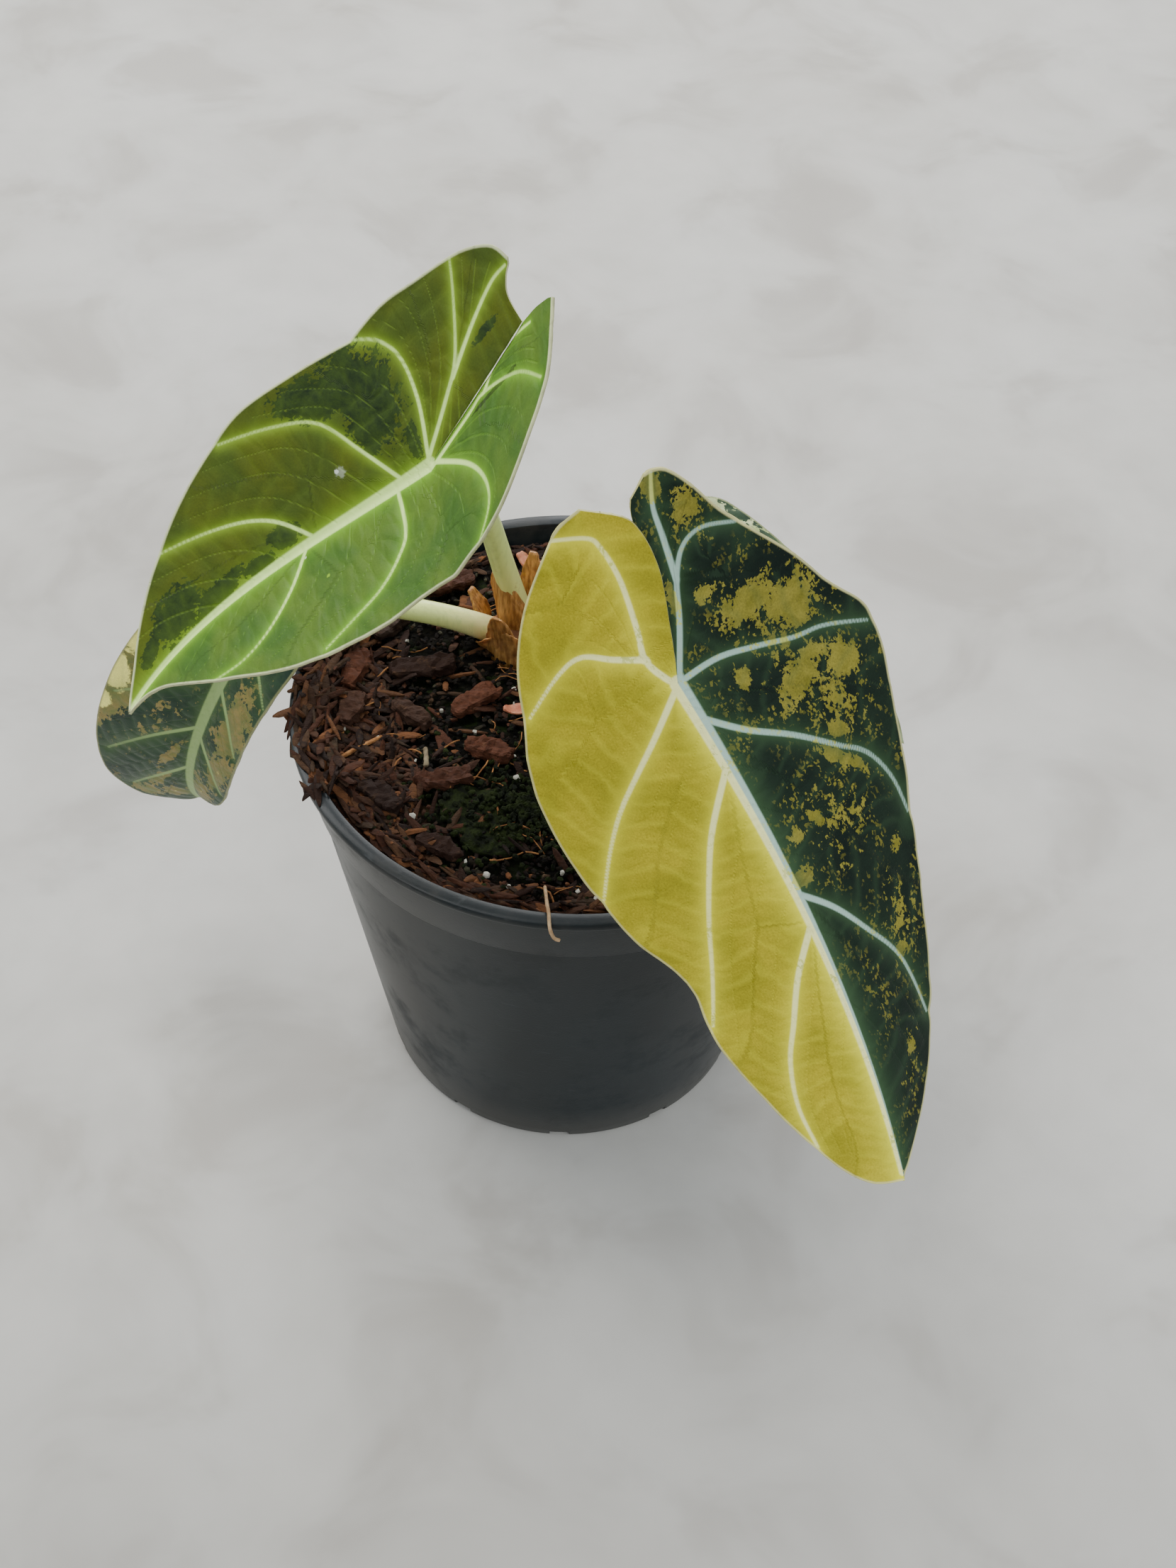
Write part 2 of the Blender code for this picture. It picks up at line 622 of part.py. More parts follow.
def litter_place(x, y):
    """A spot of the layout, moved so that it keeps its share of the way from crown to wall."""
    across, along = x - CROWN_X, y - CROWN_Y
    ring = RHIZOME_RADIUS + CLEARANCE
    length = math.hypot(across, along)
    share = (ring + (length - ring) * litter_scale(x, y)) / length
    return CROWN_X + across * share, CROWN_Y + along * share


def make_chip(name, place, size, turn, colour, rough, collection):
    """Bark chip: a long block with worn corners, a twist and tapered ends."""
    scale = litter_scale(*place)
    x, y = litter_place(*place)
    length, width, height = size[0] * scale, size[1] * scale, size[2]
    shape = bmesh.new()
    bmesh.ops.create_cube(shape, size=1)
    lengthwise = [edge for edge in shape.edges if abs(edge.verts[0].co.x - edge.verts[1].co.x) > 0.5]
    bmesh.ops.subdivide_edges(shape, edges=lengthwise, cuts=2)
    for vert in shape.verts:
        end = abs(vert.co.x) * 2
        shrink = 1 - 0.35 * end ** 2
        vert.co.y *= shrink * rough.uniform(0.8, 1.15)
        if vert.co.z > 0:
            vert.co.z *= shrink * rough.uniform(0.75, 1.1)
        vert.co.x *= rough.uniform(0.9, 1.0)
    bmesh.ops.scale(shape, verts=shape.verts, vec=(length, width, height))
    bmesh.ops.rotate(shape, verts=shape.verts, matrix=Matrix.Rotation(math.radians(turn), 3, "Z"))
    seat = seat_height(x, y, length / 2) + height / 2
    bmesh.ops.translate(shape, verts=shape.verts, vec=(x, y, seat))
    finish = material(colour[0], colour[1], 0.85)
    return object_from(name, mesh_from(name, shape), finish, collection, smooth=False)


def make_grain(name, place, radius, collection):
    x, y = litter_place(*place)
    shape = bmesh.new()
    bmesh.ops.create_icosphere(shape, subdivisions=1, radius=radius)
    bmesh.ops.translate(shape, verts=shape.verts, vec=(x, y, seat_height(x, y, 0) + radius))
    finish = material("Perlite", (0.75, 0.73, 0.68), 0.9)
    return object_from(name, mesh_from(name, shape), finish, collection)


def make_flake(name, place, size, turn, curl, collection):
    """Dry curled flake: a small strip bent up at both ends."""
    scale = litter_scale(*place)
    x, y = litter_place(*place)
    length, width = size[0] * scale, size[1] * scale
    shape = bmesh.new()
    bmesh.ops.create_grid(shape, x_segments=7, y_segments=3, size=1)
    for vert in shape.verts:
        along = vert.co.x
        side = vert.co.y * (1 - 0.6 * along ** 2)
        vert.co = (along * length / 2, side * width / 2, curl * along ** 2 + 0.15 * curl * side ** 2)
    bmesh.ops.rotate(shape, verts=shape.verts, matrix=Matrix.Rotation(math.radians(turn), 3, "Z"))
    seat = seat_height(x, y, length / 2) + FLAKE_THICKNESS / 2
    bmesh.ops.translate(shape, verts=shape.verts, vec=(x, y, seat))
    finish = material("Dry flake", (0.55, 0.27, 0.17), 0.6)
    made = object_from(name, mesh_from(name, shape), finish, collection)
    thicken(made, FLAKE_THICKNESS, 0)
    return made


def make_moss(collection):
    """Low cushion of moss and algae on the front of the medium."""
    scale = litter_scale(*MOSS_PLACE)
    middle_x, middle_y = litter_place(*MOSS_PLACE)
    shape = bmesh.new()
    bmesh.ops.create_circle(shape, cap_ends=True, segments=20, radius=1)
    disc = list(shape.faces)
    bmesh.ops.inset_region(shape, faces=disc, thickness=0.35)
    made = bmesh.ops.extrude_face_region(shape, geom=list(shape.faces))
    top = [item for item in made["geom"] if isinstance(item, bmesh.types.BMVert)]
    for vert in shape.verts:
        lump = 1 + 0.12 * math.sin(3 * math.atan2(vert.co.y, vert.co.x))
        x = middle_x + vert.co.x * MOSS_REACH[0] * scale * lump
        y = middle_y + vert.co.y * MOSS_REACH[1] * scale * lump
        share = min(1.0, vert.co.xy.length)
        rise = MOSS_HEIGHT * (1 - 0.6 * share) if vert in top else 0.0
        vert.co = (x, y, soil_height(x, y) + CLEARANCE + rise)
    bmesh.ops.recalc_face_normals(shape, faces=shape.faces)
    finish = material("Moss", (0.03, 0.06, 0.015), 0.95)
    return object_from("moss_patch", mesh_from("moss_patch", shape), finish, collection)


def make_fibre_over_rim(collection):
    """Pale root fibre that leaves the medium, passes over the front rim and hooks down."""
    radius = FIBRE_RADIUS
    over = POT_HEIGHT + CLEARANCE + radius
    outside = -POT_TOP_RADIUS - CLEARANCE - radius
    inside = -inner_radius(POT_HEIGHT) + CLEARANCE + 2 * radius
    start_x, start_y = litter_place(*FIBRE_START)
    points = [
        (start_x, start_y, soil_height(start_x, start_y) + CLEARANCE + radius),
        (start_x * 0.9, (start_y + inside) / 2, SOIL_LEVEL + 0.0035),
        (start_x * 0.8, inside, over),
        (start_x * 0.7, (inside + outside) / 2, over + 0.0006),
        (start_x * 0.6, outside - 0.0004, over - 0.0004),
        (start_x * 0.4, outside - 0.0006, POT_HEIGHT - 0.0022),
        (start_x * 0.1, outside - 0.0006, POT_HEIGHT - 0.0030),
    ]
    finish = material("Root fibre", (0.62, 0.50, 0.36), 0.7)
    return tube("fibre_over_rim", points, radius, finish, collection)


def build():
    clear_scene()
    plant = new_collection("Potted alocasia")
    cutters = new_collection("Cutters")
    make_pot(plant, cutters)
    make_substrate(plant, cutters)
    make_rhizome(plant)
    for letter, leaf, blade_colour, stalk_colour in LEAVES:
        blade = make_blade("blade_" + letter, leaf, blade_colour, plant)
        make_petiole("petiole_" + letter, blade, stalk_colour, plant)
    for index, (heading, width, height, lean) in enumerate(SHEATHS):
        make_sheath("sheath_%d" % (index + 1), heading, width, height, lean, plant)
    rough = random.Random(7)
    for index, (share, angle, size, turn, tone) in enumerate(CHIPS):
        place = (LITTER_RADIUS * share * math.cos(math.radians(angle)),
                 LITTER_RADIUS * share * math.sin(math.radians(angle)))
        make_chip("bark_chip_%02d" % (index + 1), place, size, turn, BARK_TONES[tone], rough, plant)
    for index, (share, angle, radius) in enumerate(PERLITE):
        place = (LITTER_RADIUS * share * math.cos(math.radians(angle)),
                 LITTER_RADIUS * share * math.sin(math.radians(angle)))
        make_grain("perlite_%d" % (index + 1), place, radius, plant)
    for index, (place, size, turn, curl) in enumerate(FLAKES):
        make_flake("dry_flake_%d" % (index + 1), place, size, turn, curl, plant)
    make_moss(plant)
    make_fibre_over_rim(plant)
    for name, points, radius, colour in TWIGS:
        places = [(litter_place(x, y), rise) for x, y, rise in points]
        route = [(x, y, seat_height(x, y, 0) + radius + rise) for (x, y), rise in places]
        tube(name, route, radius, material(name.replace("_", " "), colour, 0.8), plant)


build()
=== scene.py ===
import math
import random

import bmesh
import bpy
import numpy as np
from mathutils import Matrix, Vector, noise


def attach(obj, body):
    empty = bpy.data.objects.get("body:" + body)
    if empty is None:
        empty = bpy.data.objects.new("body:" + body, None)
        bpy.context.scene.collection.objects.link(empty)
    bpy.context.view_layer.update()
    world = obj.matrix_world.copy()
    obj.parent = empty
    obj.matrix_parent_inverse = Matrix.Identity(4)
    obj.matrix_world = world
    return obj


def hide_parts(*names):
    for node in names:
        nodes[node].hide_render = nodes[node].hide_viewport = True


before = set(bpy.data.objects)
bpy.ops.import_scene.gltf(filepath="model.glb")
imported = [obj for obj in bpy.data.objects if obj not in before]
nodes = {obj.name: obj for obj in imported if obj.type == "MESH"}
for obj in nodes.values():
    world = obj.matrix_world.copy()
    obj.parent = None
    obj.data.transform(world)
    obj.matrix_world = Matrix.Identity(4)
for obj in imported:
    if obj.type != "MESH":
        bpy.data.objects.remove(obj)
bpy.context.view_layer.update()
mm = 0.001


def paint(red, green, blue):
    # everyday 0-255 colour to the linear values that shaders use
    return tuple(((c / 255) / 12.92 if c / 255 <= 0.04045 else ((c / 255 + 0.055) / 1.055) ** 2.4)
                 for c in (red, green, blue))


# ---- node helpers

def addNode(tree, kind, **values):
    node = tree.nodes.new(kind)
    for key, value in values.items():
        setattr(node, key, value)
    return node


def feed(tree, node, name, value):
    # a socket takes either another node's output or a plain value
    socket = node.inputs[name]
    if isinstance(value, bpy.types.NodeSocket):
        tree.links.new(value, socket)
    elif isinstance(value, tuple) and len(value) == 3 and socket.type == "RGBA":
        socket.default_value = (*value, 1)
    else:
        socket.default_value = value


def mathNode(tree, kind, first, second=None, clamp=False):
    node = addNode(tree, "ShaderNodeMath", operation=kind, use_clamp=clamp)
    feed(tree, node, 0, first)
    if second is not None:
        feed(tree, node, 1, second)
    return node.outputs[0]


def times(tree, first, second):
    return mathNode(tree, "MULTIPLY", first, second)


def plus(tree, first, second):
    return mathNode(tree, "ADD", first, second)


def minus(tree, first, second):
    return mathNode(tree, "SUBTRACT", first, second)


def blendColour(tree, share, first, second):
    node = addNode(tree, "ShaderNodeMix", data_type="RGBA")
    feed(tree, node, 0, share)
    feed(tree, node, 6, first)
    feed(tree, node, 7, second)
    return node.outputs[2]


def ramp(tree, value, low, high, start=0.0, end=1.0, smooth=True):
    node = addNode(tree, "ShaderNodeMapRange", interpolation_type="SMOOTHSTEP" if smooth else "LINEAR")
    feed(tree, node, "Value", value)
    feed(tree, node, "From Min", low)
    feed(tree, node, "From Max", high)
    feed(tree, node, "To Min", start)
    feed(tree, node, "To Max", end)
    return node.outputs["Result"]


def noiseAt(tree, place, scale, detail=3.0, rough=0.55, twist=0.0):
    node = addNode(tree, "ShaderNodeTexNoise")
    feed(tree, node, "Vector", place)
    feed(tree, node, "Scale", scale)
    feed(tree, node, "Detail", detail)
    feed(tree, node, "Roughness", rough)
    feed(tree, node, "Distortion", twist)
    return node.outputs["Fac"]


def stretch(tree, place, scale, turn=(0, 0, 0)):
    node = addNode(tree, "ShaderNodeMapping")
    feed(tree, node, "Vector", place)
    node.inputs["Scale"].default_value = scale
    node.inputs["Rotation"].default_value = turn
    return node.outputs[0]


def attribute(tree, name, output="Fac"):
    return addNode(tree, "ShaderNodeAttribute", attribute_name=name).outputs[output]


def objectPlace(tree):
    return addNode(tree, "ShaderNodeTexCoord").outputs["Object"]


def newMaterial(name):
    made = bpy.data.materials.new(name)
    made.use_nodes = True
    tree = made.node_tree
    return made, tree, tree.nodes["Principled BSDF"]


def parted(tree, value, kind="ShaderNodeSeparateColor"):
    node = addNode(tree, kind)
    tree.links.new(value, node.inputs[0])
    return node.outputs


def warped(tree, place, scale, amount, base=None):
    # the place pushed about by soft noise, so that cells laid over it run less straight
    noisy = addNode(tree, "ShaderNodeTexNoise")
    tree.links.new(place, noisy.inputs["Vector"])
    feed(tree, noisy, "Scale", scale)
    bent = addNode(tree, "ShaderNodeVectorMath", operation="MULTIPLY_ADD")
    tree.links.new(noisy.outputs["Color"], bent.inputs[0])
    bent.inputs[1].default_value = (amount, amount, 0.0)
    tree.links.new(place if base is None else base, bent.inputs[2])
    return bent.outputs[0]


def finishSurface(tree, shader, colour, roughness, specular=None):
    feed(tree, shader, "Base Color", colour)
    feed(tree, shader, "Roughness", roughness)
    if specular is not None:
        feed(tree, shader, "Specular IOR Level", specular)


def letLightIn(tree, shader, weight, radius):
    feed(tree, shader, "Subsurface Weight", weight)
    feed(tree, shader, "Subsurface Radius", radius)
    feed(tree, shader, "Subsurface Scale", 0.4)


def bumpInto(tree, shader, height, strength, distance):
    node = addNode(tree, "ShaderNodeBump")
    feed(tree, node, "Height", height)
    feed(tree, node, "Strength", strength)
    feed(tree, node, "Distance", distance)
    tree.links.new(node.outputs[0], shader.inputs["Normal"])


def newGroup(name, inputs, outputs):
    tree = bpy.data.node_groups.new(name, "ShaderNodeTree")
    for label, kind, value in inputs:
        socket = tree.interface.new_socket(label, in_out="INPUT", socket_type=kind)
        if value is not None:
            socket.default_value = value
    for label, kind in outputs:
        tree.interface.new_socket(label, in_out="OUTPUT", socket_type=kind)
    return tree, tree.nodes.new("NodeGroupInput"), tree.nodes.new("NodeGroupOutput")


def giveOut(tree, result, **values):
    for key, value in values.items():
        tree.links.new(value, result.inputs[key])


def useGroup(tree, group, **values):
    node = addNode(tree, "ShaderNodeGroup", node_tree=group)
    for key, value in values.items():
        feed(tree, node, key, value)
    return node


# ---- shared effects

def makeVeinGroup():
    # pale core and soft glow of a vein, from the distance to it in millimetres
    tree, given, result = newGroup(
        "veinMarks", [("gap", "NodeSocketFloat", 1.0), ("edge", "NodeSocketFloat", 0.35),
                      ("reach", "NodeSocketFloat", 2.0)],
        [("core", "NodeSocketFloat"), ("glow", "NodeSocketFloat")])
    core = ramp(tree, given.outputs["gap"], given.outputs["edge"],
                times(tree, given.outputs["edge"], -0.35))
    far = mathNode(tree, "DIVIDE", mathNode(tree, "MAXIMUM", given.outputs["gap"], 0.0),
                   given.outputs["reach"])
    glow = mathNode(tree, "EXPONENT", times(tree, far, -1.0))
    giveOut(tree, result, core=core, glow=glow)
    return tree


def blockyCells(tree, place, scale):
    # one chance value for each angular cell, as in a leaf's finest meshes
    node = addNode(tree, "ShaderNodeTexVoronoi", distance="CHEBYCHEV")
    tree.links.new(place, node.inputs["Vector"])
    feed(tree, node, "Scale", scale)
    return minus(tree, parted(tree, node.outputs["Color"])[0], 0.5)


def makeVariegationGroup():
    # ragged patches that break up into blocks and fine speckle, from the smooth patch field
    tree, given, result = newGroup(
        "variegation", [("place", "NodeSocketVector", None), ("field", "NodeSocketFloat", 0.0),
                        ("ragged", "NodeSocketFloat", 1.0), ("speckle", "NodeSocketFloat", 0.3),
                        ("grain", "NodeSocketFloat", 7.0)],
        [("mask", "NodeSocketFloat"), ("tone", "NodeSocketFloat")])
    place = given.outputs["place"]
    bent = warped(tree, place, 9.0, 0.10, stretch(tree, place, (1.0, 1.4, 1.0)))
    cloud = noiseAt(tree, place, 2.4, 7.0, 0.72, 0.4)
    wander = times(tree, minus(tree, cloud, 0.5), 1.9)
    large = blockyCells(tree, bent, given.outputs["grain"])
    small = blockyCells(tree, bent, times(tree, given.outputs["grain"], 2.7))
    wander = plus(tree, wander, times(tree, large, 0.85))
    wander = plus(tree, wander, times(tree, small, 0.80))
    field = plus(tree, given.outputs["field"], times(tree, wander, given.outputs["ragged"]))
    patch = ramp(tree, field, 0.0, 0.07)
    zone = ramp(tree, noiseAt(tree, place, 0.9, 3.0), 0.42, 0.66)
    loose = plus(tree, plus(tree, small, times(tree, large, 0.8)), times(tree, zone, 0.28))
    dots = times(tree, ramp(tree, loose, 0.53, 0.60), given.outputs["speckle"])
    mask = mathNode(tree, "MAXIMUM", patch, times(tree, dots, zone), clamp=True)
    giveOut(tree, result, mask=mask, tone=cloud)
    return tree


def makeWebGroup():
    # finest veins: a stretched net of cells, with fine velvet grain on top
    tree, given, result = newGroup(
        "finestVeins", [("place", "NodeSocketVector", None), ("size", "NodeSocketFloat", 2.2)],
        [("line", "NodeSocketFloat"), ("puff", "NodeSocketFloat"), ("grain", "NodeSocketFloat")])
    place = given.outputs["place"]
    cells = addNode(tree, "ShaderNodeTexVoronoi", feature="DISTANCE_TO_EDGE")
    bent = warped(tree, place, 1.6, 0.25)
    tree.links.new(stretch(tree, bent, (1.5, 0.8, 1.0)), cells.inputs["Vector"])
    tree.links.new(given.outputs["size"], cells.inputs["Scale"])
    line = ramp(tree, cells.outputs["Distance"], 0.055, 0.0)
    puff = ramp(tree, cells.outputs["Distance"], 0.0, 0.28)
    grain = noiseAt(tree, place, 26.0, 3.0, 0.7)
    giveOut(tree, result, line=line, puff=puff, grain=grain)
    return tree


def makeWearGroup():
    # dust, water marks and fine scuffs on plastic
    tree, given, result = newGroup(
        "handlingWear", [("place", "NodeSocketVector", None), ("size", "NodeSocketFloat", 60.0)],
        [("dust", "NodeSocketFloat"), ("scuff", "NodeSocketFloat"), ("grain", "NodeSocketFloat")])
    place = given.outputs["place"]
    node = addNode(tree, "ShaderNodeTexNoise")
    tree.links.new(place, node.inputs["Vector"])
    tree.links.new(given.outputs["size"], node.inputs["Scale"])
    feed(tree, node, "Detail", 6.0)
    feed(tree, node, "Roughness", 0.65)
    dust = ramp(tree, node.outputs["Fac"], 0.42, 0.78)
    scuff = ramp(tree, noiseAt(tree, stretch(tree, place, (1, 1, 9)), 190.0, 4.0, 0.6), 0.60, 0.72)
    grain = noiseAt(tree, place, 2600.0, 2.0, 0.5)
    giveOut(tree, result, dust=dust, scuff=scuff, grain=grain)
    return tree


veinMarks = makeVeinGroup()
variegation = makeVariegationGroup()
finestVeins = makeWebGroup()
handlingWear = makeWearGroup()
print("shared effects ready")


# ---- camera, light and floor

cameraView = {"place": (0.00361, -0.32008, 0.43253), "pitch": 48.05, "roll": 2.69, "lens": 50.0}
lightValues = {"sky": 0.80, "key": 12.6, "fill": 5.0, "back": 5.0}


def addObject(name, data):
    made = bpy.data.objects.new(name, data)
    bpy.context.scene.collection.objects.link(made)
    return made


def makeCamera():
    data = bpy.data.cameras.new("view")
    data.sensor_fit = "VERTICAL"
    data.sensor_height = 36.0
    data.lens = cameraView["lens"]
    data.clip_start = 0.01
    made = addObject("view", data)
    turn = Matrix.Rotation(math.radians(90 - cameraView["pitch"]), 4, "X")
    roll = Matrix.Rotation(math.radians(cameraView["roll"]), 4, "Z")
    made.matrix_world = Matrix.Translation(cameraView["place"]) @ turn @ roll
    bpy.context.scene.camera = made


def areaLight(name, place, target, size, power, colour):
    data = bpy.data.lights.new(name, "AREA")
    data.shape = "DISK"
    data.size = size
    data.energy = power
    data.color = colour
    aim = (Vector(target) - Vector(place)).to_track_quat("-Z", "Y")
    addObject(name, data).matrix_world = Matrix.Translation(place) @ aim.to_matrix().to_4x4()


def makeStudio():
    world = bpy.data.worlds.new("studio")
    bpy.context.scene.world = world
    world.use_nodes = True
    sky = world.node_tree.nodes["Background"]
    sky.inputs["Color"].default_value = (0.92, 0.96, 1.0, 1)
    sky.inputs["Strength"].default_value = lightValues["sky"]
    middle = (0, 0, 0.1)
    areaLight("keyLight", (-0.45, 0.35, 1.05), middle, 0.8, lightValues["key"], (1.0, 0.985, 0.96))
    areaLight("fillLight", (0.55, -0.7, 0.75), middle, 0.8, lightValues["fill"], (0.95, 0.98, 1.0))
    areaLight("backLight", (0.1, 0.9, 0.55), middle, 0.6, lightValues["back"], (1.0, 1.0, 1.0))


def floorMaterial():
    made, tree, shader = newMaterial("paleFloor")
    place = objectPlace(tree)
    broad = noiseAt(tree, place, 9.0, 3.0, 0.5)
    fine = noiseAt(tree, place, 60.0, 5.0, 0.6)
    axes = parted(tree, place, "ShaderNodeSeparateXYZ")
    stain = noiseAt(tree, place, 22.0, 4.0, 0.55, 0.6)
    colour = blendColour(tree, ramp(tree, broad, 0.3, 0.7), paint(176, 173, 166), paint(194, 193, 188))
    colour = blendColour(tree, ramp(tree, stain, 0.35, 0.7, 0.0, 0.55), colour, paint(202, 200, 194))
    colour = blendColour(tree, ramp(tree, stain, 0.5, 0.3, 0.0, 0.5), colour, paint(160, 154, 146))
    # painted shade: the floor is darkened towards the front, standing in for light that falls off towards
    # the camera
    paintedFrontShade = ramp(tree, axes["Y"], -0.02, -0.30, 0.0, 0.6)
    colour = blendColour(tree, paintedFrontShade, colour, paint(134, 131, 124))
    colour = blendColour(tree, ramp(tree, fine, 0.35, 0.75, 0.0, 0.25), colour, paint(172, 170, 163))
    finishSurface(tree, shader, colour, 0.85)
    bumpInto(tree, shader, fine, 0.15, 0.0006)
    return made


def makeFloor():
    shape = bmesh.new()
    bmesh.ops.create_grid(shape, x_segments=2, y_segments=2, size=3.0)
    mesh = bpy.data.meshes.new("floor")
    shape.to_mesh(mesh)
    shape.free()
    made = addObject("floor", mesh)
    mesh.materials.append(floorMaterial())


makeCamera()
makeStudio()
makeFloor()
print("camera, light and floor ready")


# ---- piece helpers

def finishPiece(name, shape, materials, replaced=(), smooth=True):
    # turns a bmesh into a named piece that rides on the one body
    mesh = bpy.data.meshes.new(name)
    shape.to_mesh(mesh)
    shape.free()
    made = addObject(name, mesh)
    for material in materials:
        mesh.materials.append(material)
    if smooth:
        mesh.shade_smooth()
    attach(made, "root")
    if replaced:
        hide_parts(*replaced)
    return made


def bezier(points, share):
    share = np.atleast_1d(share)[:, None]
    rest = 1 - share
    return (rest ** 3 * points[0] + 3 * rest ** 2 * share * points[1]
            + 3 * rest * share ** 2 * points[2] + share ** 3 * points[3])


def bezierSlope(points, share):
    share = np.atleast_1d(share)[:, None]
    rest = 1 - share
    return 3 * (rest ** 2 * (points[1] - points[0]) + 2 * rest * share * (points[2] - points[1])
                + share ** 2 * (points[3] - points[2]))


def smoothLine(points, share):
    # points on a smooth line (Catmull-Rom) through the given ones
    points = np.array(points, float)
    share = np.atleast_1d(share)
    place = np.clip(share, 0, 1) * (len(points) - 1)
    index = np.minimum(place.astype(int), len(points) - 2)
    part = (place - index)[:, None]
    last = len(points) - 1
    before, start = points[np.maximum(index - 1, 0)], points[index]
    end, after = points[index + 1], points[np.minimum(index + 2, last)]
    return 0.5 * (2 * start + (end - before) * part + (2 * before - 5 * start + 4 * end - after) * part ** 2
                  + (3 * start - before - 3 * end + after) * part ** 3)


def unit(vectors):
    return vectors / np.linalg.norm(vectors, axis=-1, keepdims=True)


# ---- leaves: drawn flat in shares of the midrib (x from stalk to tip, y to the side), then bent

crown = np.array((-0.0130, 0.0230, 0.1000))
bladeThickness = 0.62 * mm

leafA = {
    "length": 0.0802, "stalkAt": (-0.0148, -0.0373, 0.0767), "facing": (-0.397, -0.627, 0.670),
    "spine": ((-0.245, -0.019, -0.212), (-0.554, -0.059, -0.394), (-0.725, -0.219, -0.635)),
    "fold": (20, 22), "tipFold": (-3, 8), "curl": (-6, -9), "rearBend": 0.18, "rearShear": 0.41,
    "left": ((1, 0), (0.91, 0.045), (0.81, 0.110), (0.70, 0.178), (0.57, 0.250), (0.45, 0.302),
             (0.34, 0.338), (0.20, 0.341), (0.06, 0.333), (-0.10, 0.312), (-0.21, 0.270),
             (-0.33, 0.217), (-0.40, 0.160), (-0.415, 0.110)),
    "right": ((1, 0), (0.95, 0.012), (0.88, 0.055), (0.75, 0.165), (0.56, 0.276), (0.41, 0.319),
              (0.22, 0.334), (0.07, 0.315), (-0.09, 0.309), (-0.19, 0.293), (-0.33, 0.220),
              (-0.395, 0.168), (-0.432, 0.108), (-0.462, 0.046)),
    "leftSlit": ((-0.368, 0.062), (-0.388, 0.090), (-0.408, 0.102)),
    "rightSlit": ((-0.378, 0.004), (-0.404, 0.012), (-0.448, 0.034)),
    "joinedTo": -0.362,
    "ribWidth": (1.15, 0.30), "veinWidth": 0.32, "quilt": 0.42, "groove": 0.0, "ladderStep": 4.6,
    "veins": {
        1: (((-0.01, 0.02), (-0.06, 0.11), (-0.08, 0.20), (-0.057, 0.27), (0.0, 0.33)),
            ((0.08, 0.01), (0.126, 0.107), (0.185, 0.216), (0.285, 0.266), (0.42, 0.305)),
            ((0.34, 0.0), (0.396, 0.076), (0.456, 0.119), (0.543, 0.153), (0.67, 0.19)),
            ((0.0, 0.01), (-0.115, 0.055), (-0.187, 0.091), (-0.265, 0.175), (-0.31, 0.235)),
            ((-0.158, 0.07), (-0.262, 0.099), (-0.351, 0.113), (-0.40, 0.106))),
        -1: (((0.0, 0.01), (-0.142, 0.014), (-0.202, 0.016), (-0.309, 0.079), (-0.37, 0.16)),
             ((-0.202, 0.016), (-0.262, -0.01), (-0.33, 0.0), (-0.38, 0.02)),
             ((-0.02, 0.01), (-0.11, 0.115), (-0.147, 0.198), (-0.139, 0.261), (-0.085, 0.31)),
             ((0.10, 0.0), (0.099, 0.12), (0.128, 0.176), (0.195, 0.234), (0.283, 0.27), (0.38, 0.305)),
             ((0.37, 0.0), (0.437, 0.09), (0.527, 0.159), (0.625, 0.19), (0.73, 0.18))),
    },
    "patches": ((0.045, 0.215, 0.090, 0.130, 0), (0.17, 0.27, 0.100, 0.052, 20),
                (0.09, 0.13, 0.04, 0.05, 0), (0.735, 0.06, 0.085, 0.048, -20),
                (0.62, 0.03, 0.09, 0.025, -8), (0.84, 0.045, 0.05, 0.018, -20),
                (0.405, 0.045, 0.045, 0.030, 0), (0.50, 0.025, 0.055, 0.018, 0),
                (0.0, 0.06, 0.018, 0.045, 20), (-0.28, 0.065, 0.04, 0.010, 10),
                (-0.23, -0.045, 0.07, 0.007, 12)),
}
